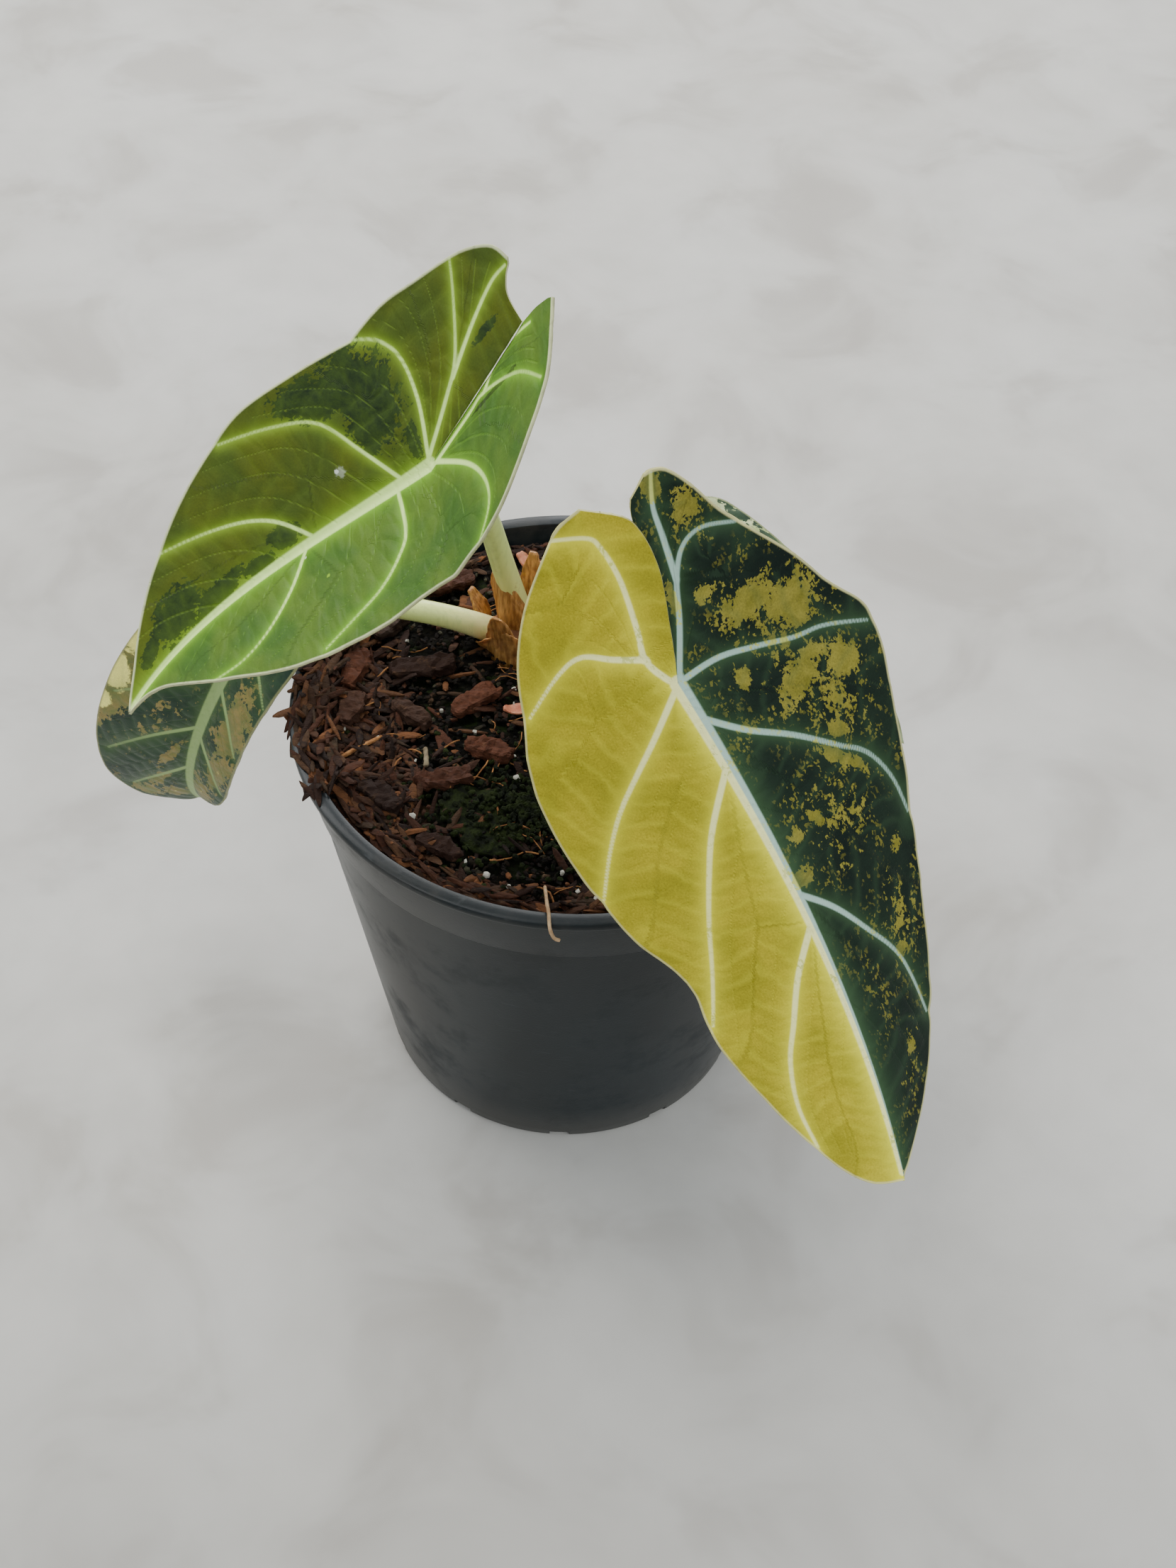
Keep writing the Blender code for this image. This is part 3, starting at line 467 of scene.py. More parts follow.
leafB = {
    "length": 0.1030, "stalkAt": (0.0311, -0.0843, 0.0707), "facing": (0.046, -0.847, 0.530),
    "spine": ((0.173, -0.094, -0.248), (0.347, -0.244, -0.497), (0.445, -0.442, -0.745)),
    "fold": (-9, -15), "tipFold": (2, -41), "curl": (-34, -2), "rearBend": 0.12, "rearShear": -0.153,
    "left": ((1.015, 0), (1.005, 0.060), (0.955, 0.115), (0.87, 0.168), (0.74, 0.222), (0.64, 0.248),
             (0.56, 0.245), (0.50, 0.258), (0.42, 0.298), (0.31, 0.325), (0.20, 0.333),
             (0.08, 0.322), (-0.04, 0.281), (-0.15, 0.245), (-0.23, 0.198), (-0.29, 0.142),
             (-0.335, 0.088), (-0.350, 0.040)),
    "right": ((1.015, 0), (0.955, 0.070), (0.89, 0.135), (0.79, 0.200), (0.70, 0.227), (0.56, 0.261),
              (0.40, 0.303), (0.28, 0.326), (0.17, 0.350), (0.09, 0.352), (0.02, 0.314),
              (-0.07, 0.268), (-0.15, 0.217), (-0.22, 0.173), (-0.29, 0.142), (-0.335, 0.112),
              (-0.343, 0.080)),
    "leftSlit": ((-0.09, -0.022), (-0.20, -0.044), (-0.285, -0.034), (-0.325, 0.005)),
    "rightSlit": ((-0.09, 0.024), (-0.15, 0.034), (-0.20, 0.040), (-0.285, 0.034), (-0.32, 0.044)),
    "joinedTo": 0.0,
    "ribWidth": (1.45, 0.55), "veinWidth": 0.50, "quilt": 0.85, "groove": 0.10, "ladderStep": 5.4,
    "veins": {
        1: (((0.0, 0.005), (-0.059, 0.036), (-0.12, 0.029), (-0.209, 0.023), (-0.273, 0.032),
             (-0.299, 0.048), (-0.325, 0.11)),
            ((-0.063, 0.034), (-0.089, 0.084), (-0.119, 0.136), (-0.106, 0.188), (-0.06, 0.262)),
            ((0.0, 0.0), (0.073, 0.088), (0.124, 0.153), (0.171, 0.208), (0.234, 0.262), (0.32, 0.32)),
            ((0.17, 0.0), (0.268, 0.079), (0.35, 0.126), (0.438, 0.167), (0.532, 0.202), (0.63, 0.24)),
            ((0.50, 0.0), (0.586, 0.061), (0.673, 0.103), (0.745, 0.134), (0.834, 0.147), (0.92, 0.135))),
        -1: (((0.0, 0.005), (-0.086, 0.042), (-0.155, 0.065), (-0.20, 0.094), (-0.21, 0.135),
              (-0.185, 0.19)),
             ((-0.155, 0.065), (-0.234, 0.07), (-0.287, 0.073), (-0.34, 0.09)),
             ((0.0, 0.0), (0.004, 0.078), (0.029, 0.146), (0.058, 0.213), (0.074, 0.27), (0.115, 0.345)),
             ((0.07, 0.0), (0.14, 0.06), (0.203, 0.133), (0.268, 0.199), (0.312, 0.246), (0.378, 0.276),
              (0.45, 0.285)),
             ((0.44, 0.0), (0.502, 0.057), (0.576, 0.108), (0.664, 0.165), (0.78, 0.195))),
    },
    "patches": ((0.0, -0.23, 0.050, 0.055, 20), (-0.05, -0.165, 0.035, 0.060, 0),
                (-0.11, -0.10, 0.014, 0.017, 0), (0.14, -0.27, 0.035, 0.035, 0),
                (0.12, -0.19, 0.060, 0.030, 60), (0.06, -0.10, 0.022, 0.016, 0),
                (0.24, -0.21, 0.020, 0.020, 0), (0.29, -0.195, 0.065, 0.013, -40),
                (0.35, -0.10, 0.028, 0.012, -30), (0.35, -0.05, 0.016, 0.012, 0),
                (0.42, -0.02, 0.020, 0.022, 0), (0.48, -0.23, 0.013, 0.013, 0),
                (0.65, -0.17, 0.014, 0.014, 0), (0.81, -0.12, 0.014, 0.014, 0),
                (-0.32, -0.08, 0.028, 0.016, 0), (-0.26, -0.125, 0.030, 0.030, 0),
                (-0.13, -0.045, 0.040, 0.010, 0), (0.02, -0.20, 0.22, 0.20, 0, 0.16),
                (0.19, -0.23, 0.16, 0.20, 30, 0.12), (0.38, -0.15, 0.22, 0.18, 0, 0.02),
                (0.60, -0.19, 0.26, 0.10, 10, 0.02), (0.83, -0.11, 0.18, 0.08, 20, 0.0),
                (-0.24, -0.11, 0.14, 0.08, 0, 0.16)),
}
leafC = {
    "length": 0.0680, "stalkAt": (-0.0560, -0.0190, 0.0120), "facing": (-0.05, -0.98, 0.20),
    "spine": ((-0.125, -0.03, -0.19), (-0.31, -0.03, -0.66), (-0.27, 0.19, -0.97)),
    "fold": (-2, 35), "tipFold": (0, -12), "curl": (-60, -40), "rearBend": -0.2, "rearShear": 0.0,
    "left": ((1, 0), (1.03, 0.070), (1.02, 0.160), (0.97, 0.245), (0.87, 0.305), (0.72, 0.330),
             (0.54, 0.335), (0.34, 0.325), (0.14, 0.295), (-0.04, 0.245), (-0.17, 0.175),
             (-0.23, 0.105)),
    "right": ((1, 0), (0.95, 0.050), (0.86, 0.100), (0.73, 0.145), (0.56, 0.165), (0.38, 0.172),
              (0.16, 0.182), (-0.04, 0.190), (-0.18, 0.175), (-0.27, 0.135), (-0.30, 0.085)),
    "leftSlit": ((-0.07, 0.012), (-0.15, 0.030), (-0.22, 0.055)),
    "rightSlit": ((-0.09, 0.010), (-0.19, 0.024), (-0.27, 0.045)),
    "joinedTo": 0.0,
    "ribWidth": (1.3, 0.6), "veinWidth": 0.42, "quilt": 0.45, "groove": 0.05, "ladderStep": 3.6,
    "veins": {
        1: (((0.0, 0.0), (-0.08, 0.06), (-0.14, 0.12)), ((0.0, 0.0), (0.05, 0.12), (0.16, 0.27)),
            ((0.18, 0.0), (0.30, 0.14), (0.45, 0.30)), ((0.42, 0.0), (0.56, 0.14), (0.74, 0.29)),
            ((0.66, 0.0), (0.80, 0.11), (0.93, 0.22))),
        -1: (((0.0, 0.0), (-0.10, 0.05), (-0.20, 0.12)), ((0.0, 0.0), (0.05, 0.09), (0.14, 0.17)),
             ((0.20, 0.0), (0.30, 0.08), (0.42, 0.15)), ((0.45, 0.0), (0.56, 0.07), (0.70, 0.13))),
    },
    "patches": ((0.10, 0.30, 0.10, 0.10, 0), (0.28, 0.32, 0.10, 0.07, 0), (0.42, 0.30, 0.05, 0.05, 0),
                (0.30, -0.11, 0.20, 0.05, 0), (0.55, -0.11, 0.16, 0.045, 8), (0.78, -0.05, 0.12, 0.04, 0),
                (0.90, 0.06, 0.05, 0.06, 0), (0.60, 0.33, 0.05, 0.02, 0), (0.62, 0.07, 0.10, 0.016, 20),
                (0.18, 0.31, 0.08, 0.05, 0, 2.4), (0.36, 0.32, 0.07, 0.05, 0, 2.4),
                (0.05, 0.27, 0.05, 0.05, 0, 2.2), (0.50, 0.33, 0.04, 0.03, 0, 2.2),
                (0.50, 0.14, 0.40, 0.14, 25, 0.05),
                (0.80, 0.10, 0.07, 0.018, 30), (0.95, 0.17, 0.04, 0.06, 0)),
}
leafD = {
    "length": 0.0500, "stalkAt": (0.0490, -0.0125, 0.0330), "facing": (0.15, -0.45, 0.88),
    "spine": ((0.22, -0.05, -0.08), (0.48, -0.17, -0.36), (0.68, -0.296, -0.69)),
    "fold": (-8, -12), "tipFold": (-6, -6), "curl": (-60, -60), "rearBend": 0.0, "rearShear": 0.0,
    "left": ((1, 0), (0.92, 0.075), (0.80, 0.150), (0.64, 0.225), (0.45, 0.285), (0.25, 0.320),
             (0.06, 0.325), (-0.10, 0.300), (-0.24, 0.250), (-0.34, 0.180), (-0.38, 0.100)),
    "right": ((1, 0), (0.92, 0.030), (0.80, 0.055), (0.64, 0.075), (0.45, 0.095), (0.25, 0.130),
              (0.06, 0.180), (-0.10, 0.225), (-0.24, 0.240), (-0.34, 0.180), (-0.38, 0.100)),
    "leftSlit": ((-0.12, 0.012), (-0.26, 0.035), (-0.34, 0.060)),
    "rightSlit": ((-0.12, 0.012), (-0.26, 0.035), (-0.34, 0.060)),
    "joinedTo": 0.0,
    "ribWidth": (1.1, 0.5), "veinWidth": 0.38, "quilt": 0.35, "groove": 0.05, "ladderStep": 3.2,
    "veins": {
        1: (((0.0, 0.0), (-0.12, 0.08), (-0.26, 0.17)), ((0.0, 0.0), (0.03, 0.14), (0.12, 0.31)),
            ((0.16, 0.0), (0.28, 0.14), (0.42, 0.28)), ((0.42, 0.0), (0.55, 0.10), (0.70, 0.19))),
        -1: (((0.0, 0.0), (-0.12, 0.08), (-0.26, 0.18)), ((0.0, 0.0), (0.0, 0.10), (0.06, 0.17)),
             ((0.20, 0.0), (0.30, 0.06), (0.44, 0.09))),
    },
    "patches": ((-0.10, -0.16, 0.12, 0.08, 0, 0.4), (-0.25, -0.18, 0.08, 0.06, 0, 0.5),
                (0.10, -0.12, 0.10, 0.05, 0, 0.4), (0.10, 0.18, 0.14, 0.08, 0, 0.4),
                (0.40, 0.12, 0.12, 0.07, 0, 0.4), (0.60, -0.03, 0.10, 0.05, 0, 0.4)),
}


class LeafSurface:
    # carries flat leaf points onto the bent blade
    def __init__(self, leaf):
        self.leaf = leaf
        self.length = leaf["length"]
        self.stalk = crown + np.array(leaf["stalkAt"])
        spine = [self.stalk + self.length * np.array(point) for point in leaf["spine"]]
        self.points = np.array([self.stalk] + spine)
        self.facing = unit(np.array(leaf["facing"]))
        self.share = np.linspace(0, 1, 241)
        steps = np.linalg.norm(np.diff(bezier(self.points, self.share), axis=0), axis=1)
        self.arc = np.concatenate(([0.0], np.cumsum(steps)))

    def frames(self, x):
        along = x * self.arc[-1]
        share = np.interp(np.clip(along, 0, self.arc[-1]), self.arc, self.share)
        place = bezier(self.points, share)
        tangent = unit(bezierSlope(self.points, share))
        side = unit(np.cross(tangent, self.facing))
        up = np.cross(side, tangent)
        beyond = np.maximum(along - self.arc[-1], 0)[:, None]
        back = np.maximum(-along, 0)[:, None]
        angle = (np.maximum(-x, 0) * self.leaf["rearBend"])[:, None]
        place = place + tangent * beyond - tangent * back * np.cos(angle / 2)
        place = place + up * back * np.sin(angle / 2) + side * back * self.leaf["rearShear"]
        return place, side, up * np.cos(angle) + tangent * np.sin(angle)

    def place(self, x, y, hand):
        middle, side, up = self.frames(x)
        half = 0 if hand > 0 else 1
        fold = np.radians(self.leaf["fold"][half] + self.leaf["tipFold"][half] * np.clip(x, -0.5, 1))
        width = y * self.length
        turn = np.radians(self.leaf["curl"][half]) / 0.1 * width
        turn = np.where(np.abs(turn) < 1e-6, 1e-6, turn)
        out = (np.sin(fold + turn) - np.sin(fold)) / turn * width
        rise = (np.cos(fold) - np.cos(fold + turn)) / turn * width
        surface = middle + side * (hand * out)[:, None] + up * rise[:, None]
        # both halves share one normal on the midrib, so that they meet there
        tilt = ((fold + turn) * np.clip(y / 0.015, 0, 1))[:, None]
        normal = up * np.cos(tilt) - side * hand * np.sin(tilt)
        return surface, normal


def gapAndWay(flat, line, startWidth, endWidth, samples=28):
    # distance in millimetres from each flat point to a tapering vein's edge, and how far along it lies
    course = smoothLine(line, np.linspace(0, 1, samples))
    best, way, gone = np.full(len(flat), 1e3), np.zeros(len(flat)), 0.0
    for index in range(samples - 1):
        start, end = course[index], course[index + 1]
        run = end - start
        part = np.clip(((flat - start) @ run) / max(run @ run, 1e-12), 0, 1)
        distance = np.linalg.norm(flat - (start + part[:, None] * run), axis=1)
        share = (index + part) / (samples - 1)
        gap = distance - (startWidth + (endWidth - startWidth) * share)
        length = np.linalg.norm(run)
        way = np.where(gap < best, gone + part * length, way)
        best = np.minimum(best, gap)
        gone += length
    return best, way


def gapTo(flat, line, startWidth, endWidth, samples=28):
    return gapAndWay(flat, line, startWidth, endWidth, samples)[0]


farAway, veinTaper = 50.0, 0.42


def leafFields(leaf, flat, hand):
    # what the shader needs at each point: gaps to veins, ribs and margin, and the patch field
    size = leaf["length"] * 1000
    scaled = flat * size
    veins = [np.array(line) * size for line in leaf["veins"][hand]]
    midrib = np.array(((0, 0), (0.5, 0), (1.0, 0))) * size
    nearest, vein = np.full(len(flat), farAway), np.full(len(flat), farAway)
    ladder = np.zeros(len(flat))
    for line in veins + [midrib]:
        gap, way = gapAndWay(scaled, line, leaf["veinWidth"], leaf["veinWidth"] * veinTaper)
        ladder = np.where(gap < nearest, way + 0.5 * gap, ladder)
        nearest = np.minimum(nearest, gap)
        if line is not midrib:
            vein = np.minimum(vein, gap)
    ordered = sorted(veins, key=lambda line: smoothLine(line, 0.8)[0][0])
    minor = np.full(len(flat), farAway)
    steps = np.linspace(0, 1, 6)
    tip = np.array(((0.72, 0.0), (0.86, 0.05), (0.95, 0.06))) * size
    for first, second in zip(ordered, ordered[1:] + [tip]):
        for part in (0.25, 0.5, 0.75):
            between = smoothLine(first, steps) * (1 - part) + smoothLine(second, steps) * part
            between[0, 1] = 0.0
            minor = np.minimum(minor, gapTo(scaled, between, 0.16, 0.05, 14))
    rib = gapTo(scaled, midrib, *leaf["ribWidth"])
    outline = leaf["left" if hand > 0 else "right"]
    edge = gapTo(scaled, np.array(outline) * size, 0.0, 0.0, 60)
    field = np.full(len(flat), -1.0)
    for x, y, along, across, turn, *level in leaf["patches"]:
        angle = math.radians(turn)
        dx, dy = flat[:, 0] - x, flat[:, 1] * hand - y
        first = (dx * math.cos(angle) + dy * math.sin(angle)) / along
        second = (-dx * math.sin(angle) + dy * math.cos(angle)) / across
        field = np.maximum(field, (level or [1.0])[0] - np.hypot(first, second))
    return dict(vein=vein, minor=minor, rib=rib, edge=edge, patch=field, ladder=ladder)


def innerLine(leaf, half, share, turn):
    joined = leaf["joinedTo"]
    along = np.clip(share / turn, 0, 1)
    straight = np.stack((1 - along * (1 - joined), np.zeros_like(along)), axis=1)
    slit = smoothLine(((joined, 0),) + leaf[half + "Slit"], np.clip((share - turn) / (1 - turn), 0, 1))
    return np.where((share <= turn)[:, None], straight, slit)


def makeBlade(name, leaf, materials, rows, columns):
    surface = LeafSurface(leaf)
    shape = bmesh.new()
    layers = {key: shape.verts.layers.float.new(key)
              for key in ("vein", "minor", "rib", "edge", "patch", "ladder", "side")}
    flatLayer = shape.verts.layers.float_vector.new("flat")
    for half, hand in (("left", 1), ("right", -1)):
        made = bmesh.ops.create_grid(shape, x_segments=rows, y_segments=columns, size=1)
        verts = made["verts"]
        along = np.array([(v.co.x + 1) / 2 for v in verts])
        across = np.array([(v.co.y + 1) / 2 for v in verts])
        inner = innerLine(leaf, half, along, 20 / 26)
        outer = smoothLine(leaf[half], along)
        flat = inner + (outer - inner) * across[:, None]
        points, normal = surface.place(flat[:, 0], flat[:, 1], hand)
        fields = leafFields(leaf, flat, hand)
        rib, ladder = fields["rib"], fields["ladder"]
        near = np.minimum(fields["vein"], rib)
        relief = leaf["quilt"] * (1 - np.exp(-np.maximum(near, 0) / 2.2))
        fromRib = np.clip(rib, 0, 1)
        relief += 0.12 * leaf["quilt"] * fromRib * (1 - np.exp(-np.maximum(fields["minor"], 0) / 0.7))
        relief -= leaf["quilt"] * 0.8
        away = np.clip(near / 2.0, 0, 1)
        relief += leaf["quilt"] * 0.22 * away * np.abs(np.sin(math.pi * ladder / leaf["ladderStep"]))
        groove = np.exp(-((rib + leaf["ribWidth"][0] * 0.5) / 0.8) ** 2) * leaf["groove"]
        points = points + normal * ((relief + groove) * mm)[:, None]
        fields["ladder"] = ladder / leaf["ladderStep"]
        fields["side"] = hand * across * 10
        for index, vert in enumerate(verts):
            vert.co = points[index]
            for key, layer in layers.items():
                vert[layer] = fields[key][index]
            vert[flatLayer] = (flat[index, 0] * leaf["length"] * 100,
                               flat[index, 1] * hand * leaf["length"] * 100, 0)
        if hand < 0:
            faces = {face for vert in verts for face in vert.link_faces}
            bmesh.ops.reverse_faces(shape, faces=list(faces))
    bmesh.ops.remove_doubles(shape, verts=shape.verts, dist=0.00002)
    made = finishPiece(name, shape, materials, (name,))
    solid = made.modifiers.new("thickness", "SOLIDIFY")
    solid.thickness = bladeThickness
    solid.offset = -1
    solid.material_offset = 1
    solid.material_offset_rim = 2
    return surface


# ---- leaf materials

leafLooks = {
    "green": {
        "lamina": paint(86, 114, 38), "deep": paint(64, 98, 36), "patch": paint(28, 44, 24),
        "patchLight": paint(56, 76, 26), "vein": paint(222, 255, 154), "glow": paint(128, 184, 50),
        "leftLamina": paint(82, 92, 20), "leftDeep": paint(66, 82, 24), "leftVein": paint(222, 255, 152),
        "leftGlow": paint(146, 182, 52), "margin": paint(222, 228, 178), "speckle": 0.0, "ragged": 0.40,
        "grain": 6.0, "roughness": 0.50, "sheen": 0.02, "veinReach": 0.8, "ribReach": 1.5,
        "minorMark": 0.20, "webMark": 0.01, "ladderMark": 0.04, "glowShare": 0.95, "leftPatches": True,
        "patchHold": 0.65, "veinEnd": 0.5,
        "marks": ((1.60, 0.78, 0.13, 0.30, paint(214, 222, 206)),
                  (1.66, 0.82, 0.05, 0.8, paint(226, 232, 220)),
                  (3.05, -0.25, 0.035, 0.9, paint(222, 230, 212)),
                  (2.62, -0.98, 0.05, 0.8, paint(150, 196, 40)),
                  (8.0, 0.0, 0.13, 0.75, paint(150, 92, 66))),
    },
    "halfGold": {
        "lamina": paint(25, 39, 29), "deep": paint(15, 27, 22), "patch": paint(112, 108, 34),
        "patchLight": paint(142, 134, 56), "vein": paint(170, 200, 186), "glow": paint(64, 92, 60),
        "leftLamina": paint(174, 162, 42), "leftDeep": paint(150, 142, 36), "leftVein": paint(255, 255, 178),
        "leftGlow": paint(232, 228, 60), "patchVein": paint(200, 206, 112), "rungWander": 0.8,
        "margin": paint(216, 212, 150), "speckle": 0.85, "ragged": 0.66,
        "grain": 6.5, "roughness": 0.60, "sheen": 0.05, "patchHold": 0.15, "glowShare": 0.9,
        "minorMark": 0.10, "webMark": 0.02, "ladderMark": 0.17, "veinReach": 1.3, "veinEnd": 0.75,
        "ribReach": 2.2, "grainBump": 0.45, "specular": 0.09, "grainSpan": 0.26,
    },
    "darkStreaked": {
        "lamina": paint(44, 68, 48), "deep": paint(30, 52, 40), "patch": paint(104, 116, 60),
        "patchLight": paint(152, 130, 76), "vein": paint(150, 176, 112), "glow": paint(84, 112, 62),
        "margin": paint(150, 150, 104), "cream": paint(255, 250, 140), "speckle": 0.6, "ragged": 0.7,
        "grain": 4.0, "roughness": 0.46, "sheen": 0.02, "patchHold": 0.2, "ribReach": 1.4,
    },
    "paleMottled": {
        "lamina": paint(44, 66, 44), "deep": paint(30, 48, 36), "patch": paint(150, 166, 96),
        "patchLight": paint(200, 208, 160), "vein": paint(150, 170, 130), "glow": paint(96, 116, 80),
        "margin": paint(150, 156, 110), "speckle": 0.8, "ragged": 0.9, "grain": 5.0, "roughness": 0.36,
        "sheen": 0.02, "patchHold": 0.2, "specular": 0.35,
    },
}


def bladeTones(tree, flat, marks, look):
    # the blade's colour with its patches, and the vein and glow colours that go with it
    broad = ramp(tree, noiseAt(tree, flat, 0.8, 3.0, 0.5), 0.35, 0.65)
    mask, tone = marks.outputs["mask"], marks.outputs["tone"]
    blade = blendColour(tree, broad, look["deep"], look["lamina"])
    veinColour, glowColour = look["vein"], look["glow"]
    if "leftLamina" in look:
        share = ramp(tree, attribute(tree, "side"), -0.06, 0.06)
        leftTone = blendColour(tree, broad, look["leftDeep"], look["leftLamina"])
        blade = blendColour(tree, share, blade, leftTone)
        veinColour = blendColour(tree, share, veinColour, look["leftVein"])
        glowColour = blendColour(tree, share, glowColour, look["leftGlow"])
    patchTone = blendColour(tree, ramp(tree, tone, 0.3, 0.7), look["patch"], look["patchLight"])
    colour = blendColour(tree, mask, blade, patchTone)
    if "cream" in look:
        creamy = plus(tree, attribute(tree, "patch"), times(tree, minus(tree, tone, 0.5), 3.0))
        colour = blendColour(tree, ramp(tree, creamy, 1.1, 1.4), colour, look["cream"])
    if "leftLamina" in look and not look.get("leftPatches"):
        colour = blendColour(tree, share, colour, leftTone)
    if "patchVein" in look:
        veinColour = blendColour(tree, mask, veinColour, look["patchVein"])
    return colour, veinColour, glowColour


def addMarks(tree, flat, colour, marks):
    # single spots, each with its place on the flat blade in centimetres, radius, strength and colour
    for x, y, radius, strength, tone in marks:
        apart = addNode(tree, "ShaderNodeVectorMath", operation="DISTANCE")
        tree.links.new(flat, apart.inputs[0])
        apart.inputs[1].default_value = (x, y, 0)
        rough = times(tree, minus(tree, noiseAt(tree, flat, 14.0, 3.0), 0.5), radius * 1.6)
        spread = plus(tree, apart.outputs["Value"], rough)
        spot = times(tree, ramp(tree, spread, radius, radius * 0.5), strength)
        colour = blendColour(tree, spot, colour, tone)
    return colour


def ladderBulges(tree, flat, look):
    # how far the blade swells between its rungs, and how far a point is from the large veins
    rung = plus(tree, attribute(tree, "ladder"),
                times(tree, noiseAt(tree, flat, 1.5, 2.0), look.get("rungWander", 0.35)))
    swell = mathNode(tree, "ABSOLUTE", mathNode(tree, "SINE", times(tree, rung, math.pi)))
    away = ramp(tree, mathNode(tree, "MINIMUM", attribute(tree, "vein"), attribute(tree, "rib")), 0.0, 1.6)
    return swell, away


def grained(tree, colour, grain, span):
    shade = ramp(tree, grain, 0.25, 0.75, 1 - span, 1 + span, smooth=False)
    node = addNode(tree, "ShaderNodeHueSaturation")
    tree.links.new(colour, node.inputs["Color"])
    tree.links.new(shade, node.inputs["Value"])
    return node.outputs[0]


def leafTop(name, look):
    made, tree, shader = newMaterial(name)
    flat = attribute(tree, "flat", "Vector")
    web = useGroup(tree, finestVeins, place=flat)
    marks = useGroup(tree, variegation, place=flat, field=attribute(tree, "patch"),
                     ragged=look["ragged"], speckle=look["speckle"], grain=look["grain"])
    vein = useGroup(tree, veinMarks, gap=attribute(tree, "vein"), edge=0.28,
                    reach=look.get("veinReach", 1.6))
    minor = useGroup(tree, veinMarks, gap=attribute(tree, "minor"), edge=0.22, reach=0.7)
    rib = useGroup(tree, veinMarks, gap=attribute(tree, "rib"), edge=0.35,
                   reach=look.get("ribReach", 2.6))
    colour, veinColour, glowColour = bladeTones(tree, flat, marks, look)
    colour = grained(tree, colour, web.outputs["grain"], look.get("grainSpan", 0.16))
    glow = mathNode(tree, "MAXIMUM", times(tree, vein.outputs["glow"], 0.8), rib.outputs["glow"])
    swell, away = ladderBulges(tree, flat, look)
    rungLine = times(tree, ramp(tree, swell, 0.75, 0.0), away)
    faint = plus(tree, times(tree, minor.outputs["core"], look.get("minorMark", 0.16)),
                 times(tree, web.outputs["line"], look.get("webMark", 0.03)))
    faint = mathNode(tree, "MAXIMUM", faint, times(tree, rungLine, look.get("ladderMark", 0.12)))
    colour = blendColour(tree, faint, colour, glowColour)
    keep = minus(tree, 1.0, times(tree, marks.outputs["mask"], look.get("patchHold", 0.75)))
    glow = times(tree, glow, keep)
    colour = blendColour(tree, times(tree, glow, look.get("glowShare", 0.7)), colour, glowColour)
    fade = ramp(tree, attribute(tree, "ladder"), 1.0, 6.5, 0.95, look.get("veinEnd", 0.6))
    core = mathNode(tree, "MAXIMUM", times(tree, vein.outputs["core"], fade), rib.outputs["core"])
    colour = blendColour(tree, core, colour, veinColour)
    colour = addMarks(tree, flat, colour, look.get("marks", ()))
    margin = ramp(tree, attribute(tree, "edge"), 0.55, 0.15)
    colour = blendColour(tree, times(tree, margin, 0.8), colour, look["margin"])
    rough = ramp(tree, web.outputs["grain"], 0.3, 0.7, look["roughness"] - 0.05, look["roughness"] + 0.08)
    finishSurface(tree, shader, colour, rough, look.get("specular", 0.20))
    shader.inputs["Sheen Weight"].default_value = look["sheen"]
    shader.inputs["Sheen Roughness"].default_value = 0.45
    shader.inputs["Sheen Tint"].default_value = (0.9, 1.0, 0.8, 1)
    height = plus(tree, times(tree, web.outputs["puff"], 0.6),
                  times(tree, web.outputs["grain"], look.get("grainBump", 0.25)))
    height = minus(tree, height, times(tree, minor.outputs["core"], 0.7))
    height = plus(tree, height, times(tree, times(tree, swell, away), 0.8))
    bumpInto(tree, shader, height, 0.5, 0.00028)
    return made


def leafUnder(name, pale, blush):
    made, tree, shader = newMaterial(name)
    flat = attribute(tree, "flat", "Vector")
    web = useGroup(tree, finestVeins, place=flat)
    vein = useGroup(tree, veinMarks, gap=attribute(tree, "vein"), edge=0.35, reach=1.2)
    rib = useGroup(tree, veinMarks, gap=attribute(tree, "rib"), edge=0.4, reach=2.0)
    share = ramp(tree, noiseAt(tree, flat, 1.1, 4.0, 0.6), 0.4, 0.65)
    colour = blendColour(tree, share, pale, blush)
    colour = blendColour(tree, times(tree, web.outputs["line"], 0.25), colour, paint(176, 186, 140))
    core = mathNode(tree, "MAXIMUM", vein.outputs["core"], rib.outputs["core"])
    colour = blendColour(tree, times(tree, core, 0.8), colour, paint(196, 204, 160))
    finishSurface(tree, shader, colour, ramp(tree, web.outputs["grain"], 0.3, 0.7, 0.5, 0.64), 0.3)
    height = plus(tree, times(tree, vein.outputs["glow"], 1.4), times(tree, web.outputs["line"], 0.35))
    bumpInto(tree, shader, height, 0.6, 0.0005)
    return made


def leafRim(name, tone):
    made, tree, shader = newMaterial(name)
    place = objectPlace(tree)
    colour = blendColour(tree, ramp(tree, noiseAt(tree, place, 300.0, 3.0), 0.35, 0.7), tone,
                         tuple(part * 0.7 for part in tone))
    finishSurface(tree, shader, colour, 0.55)
    return made


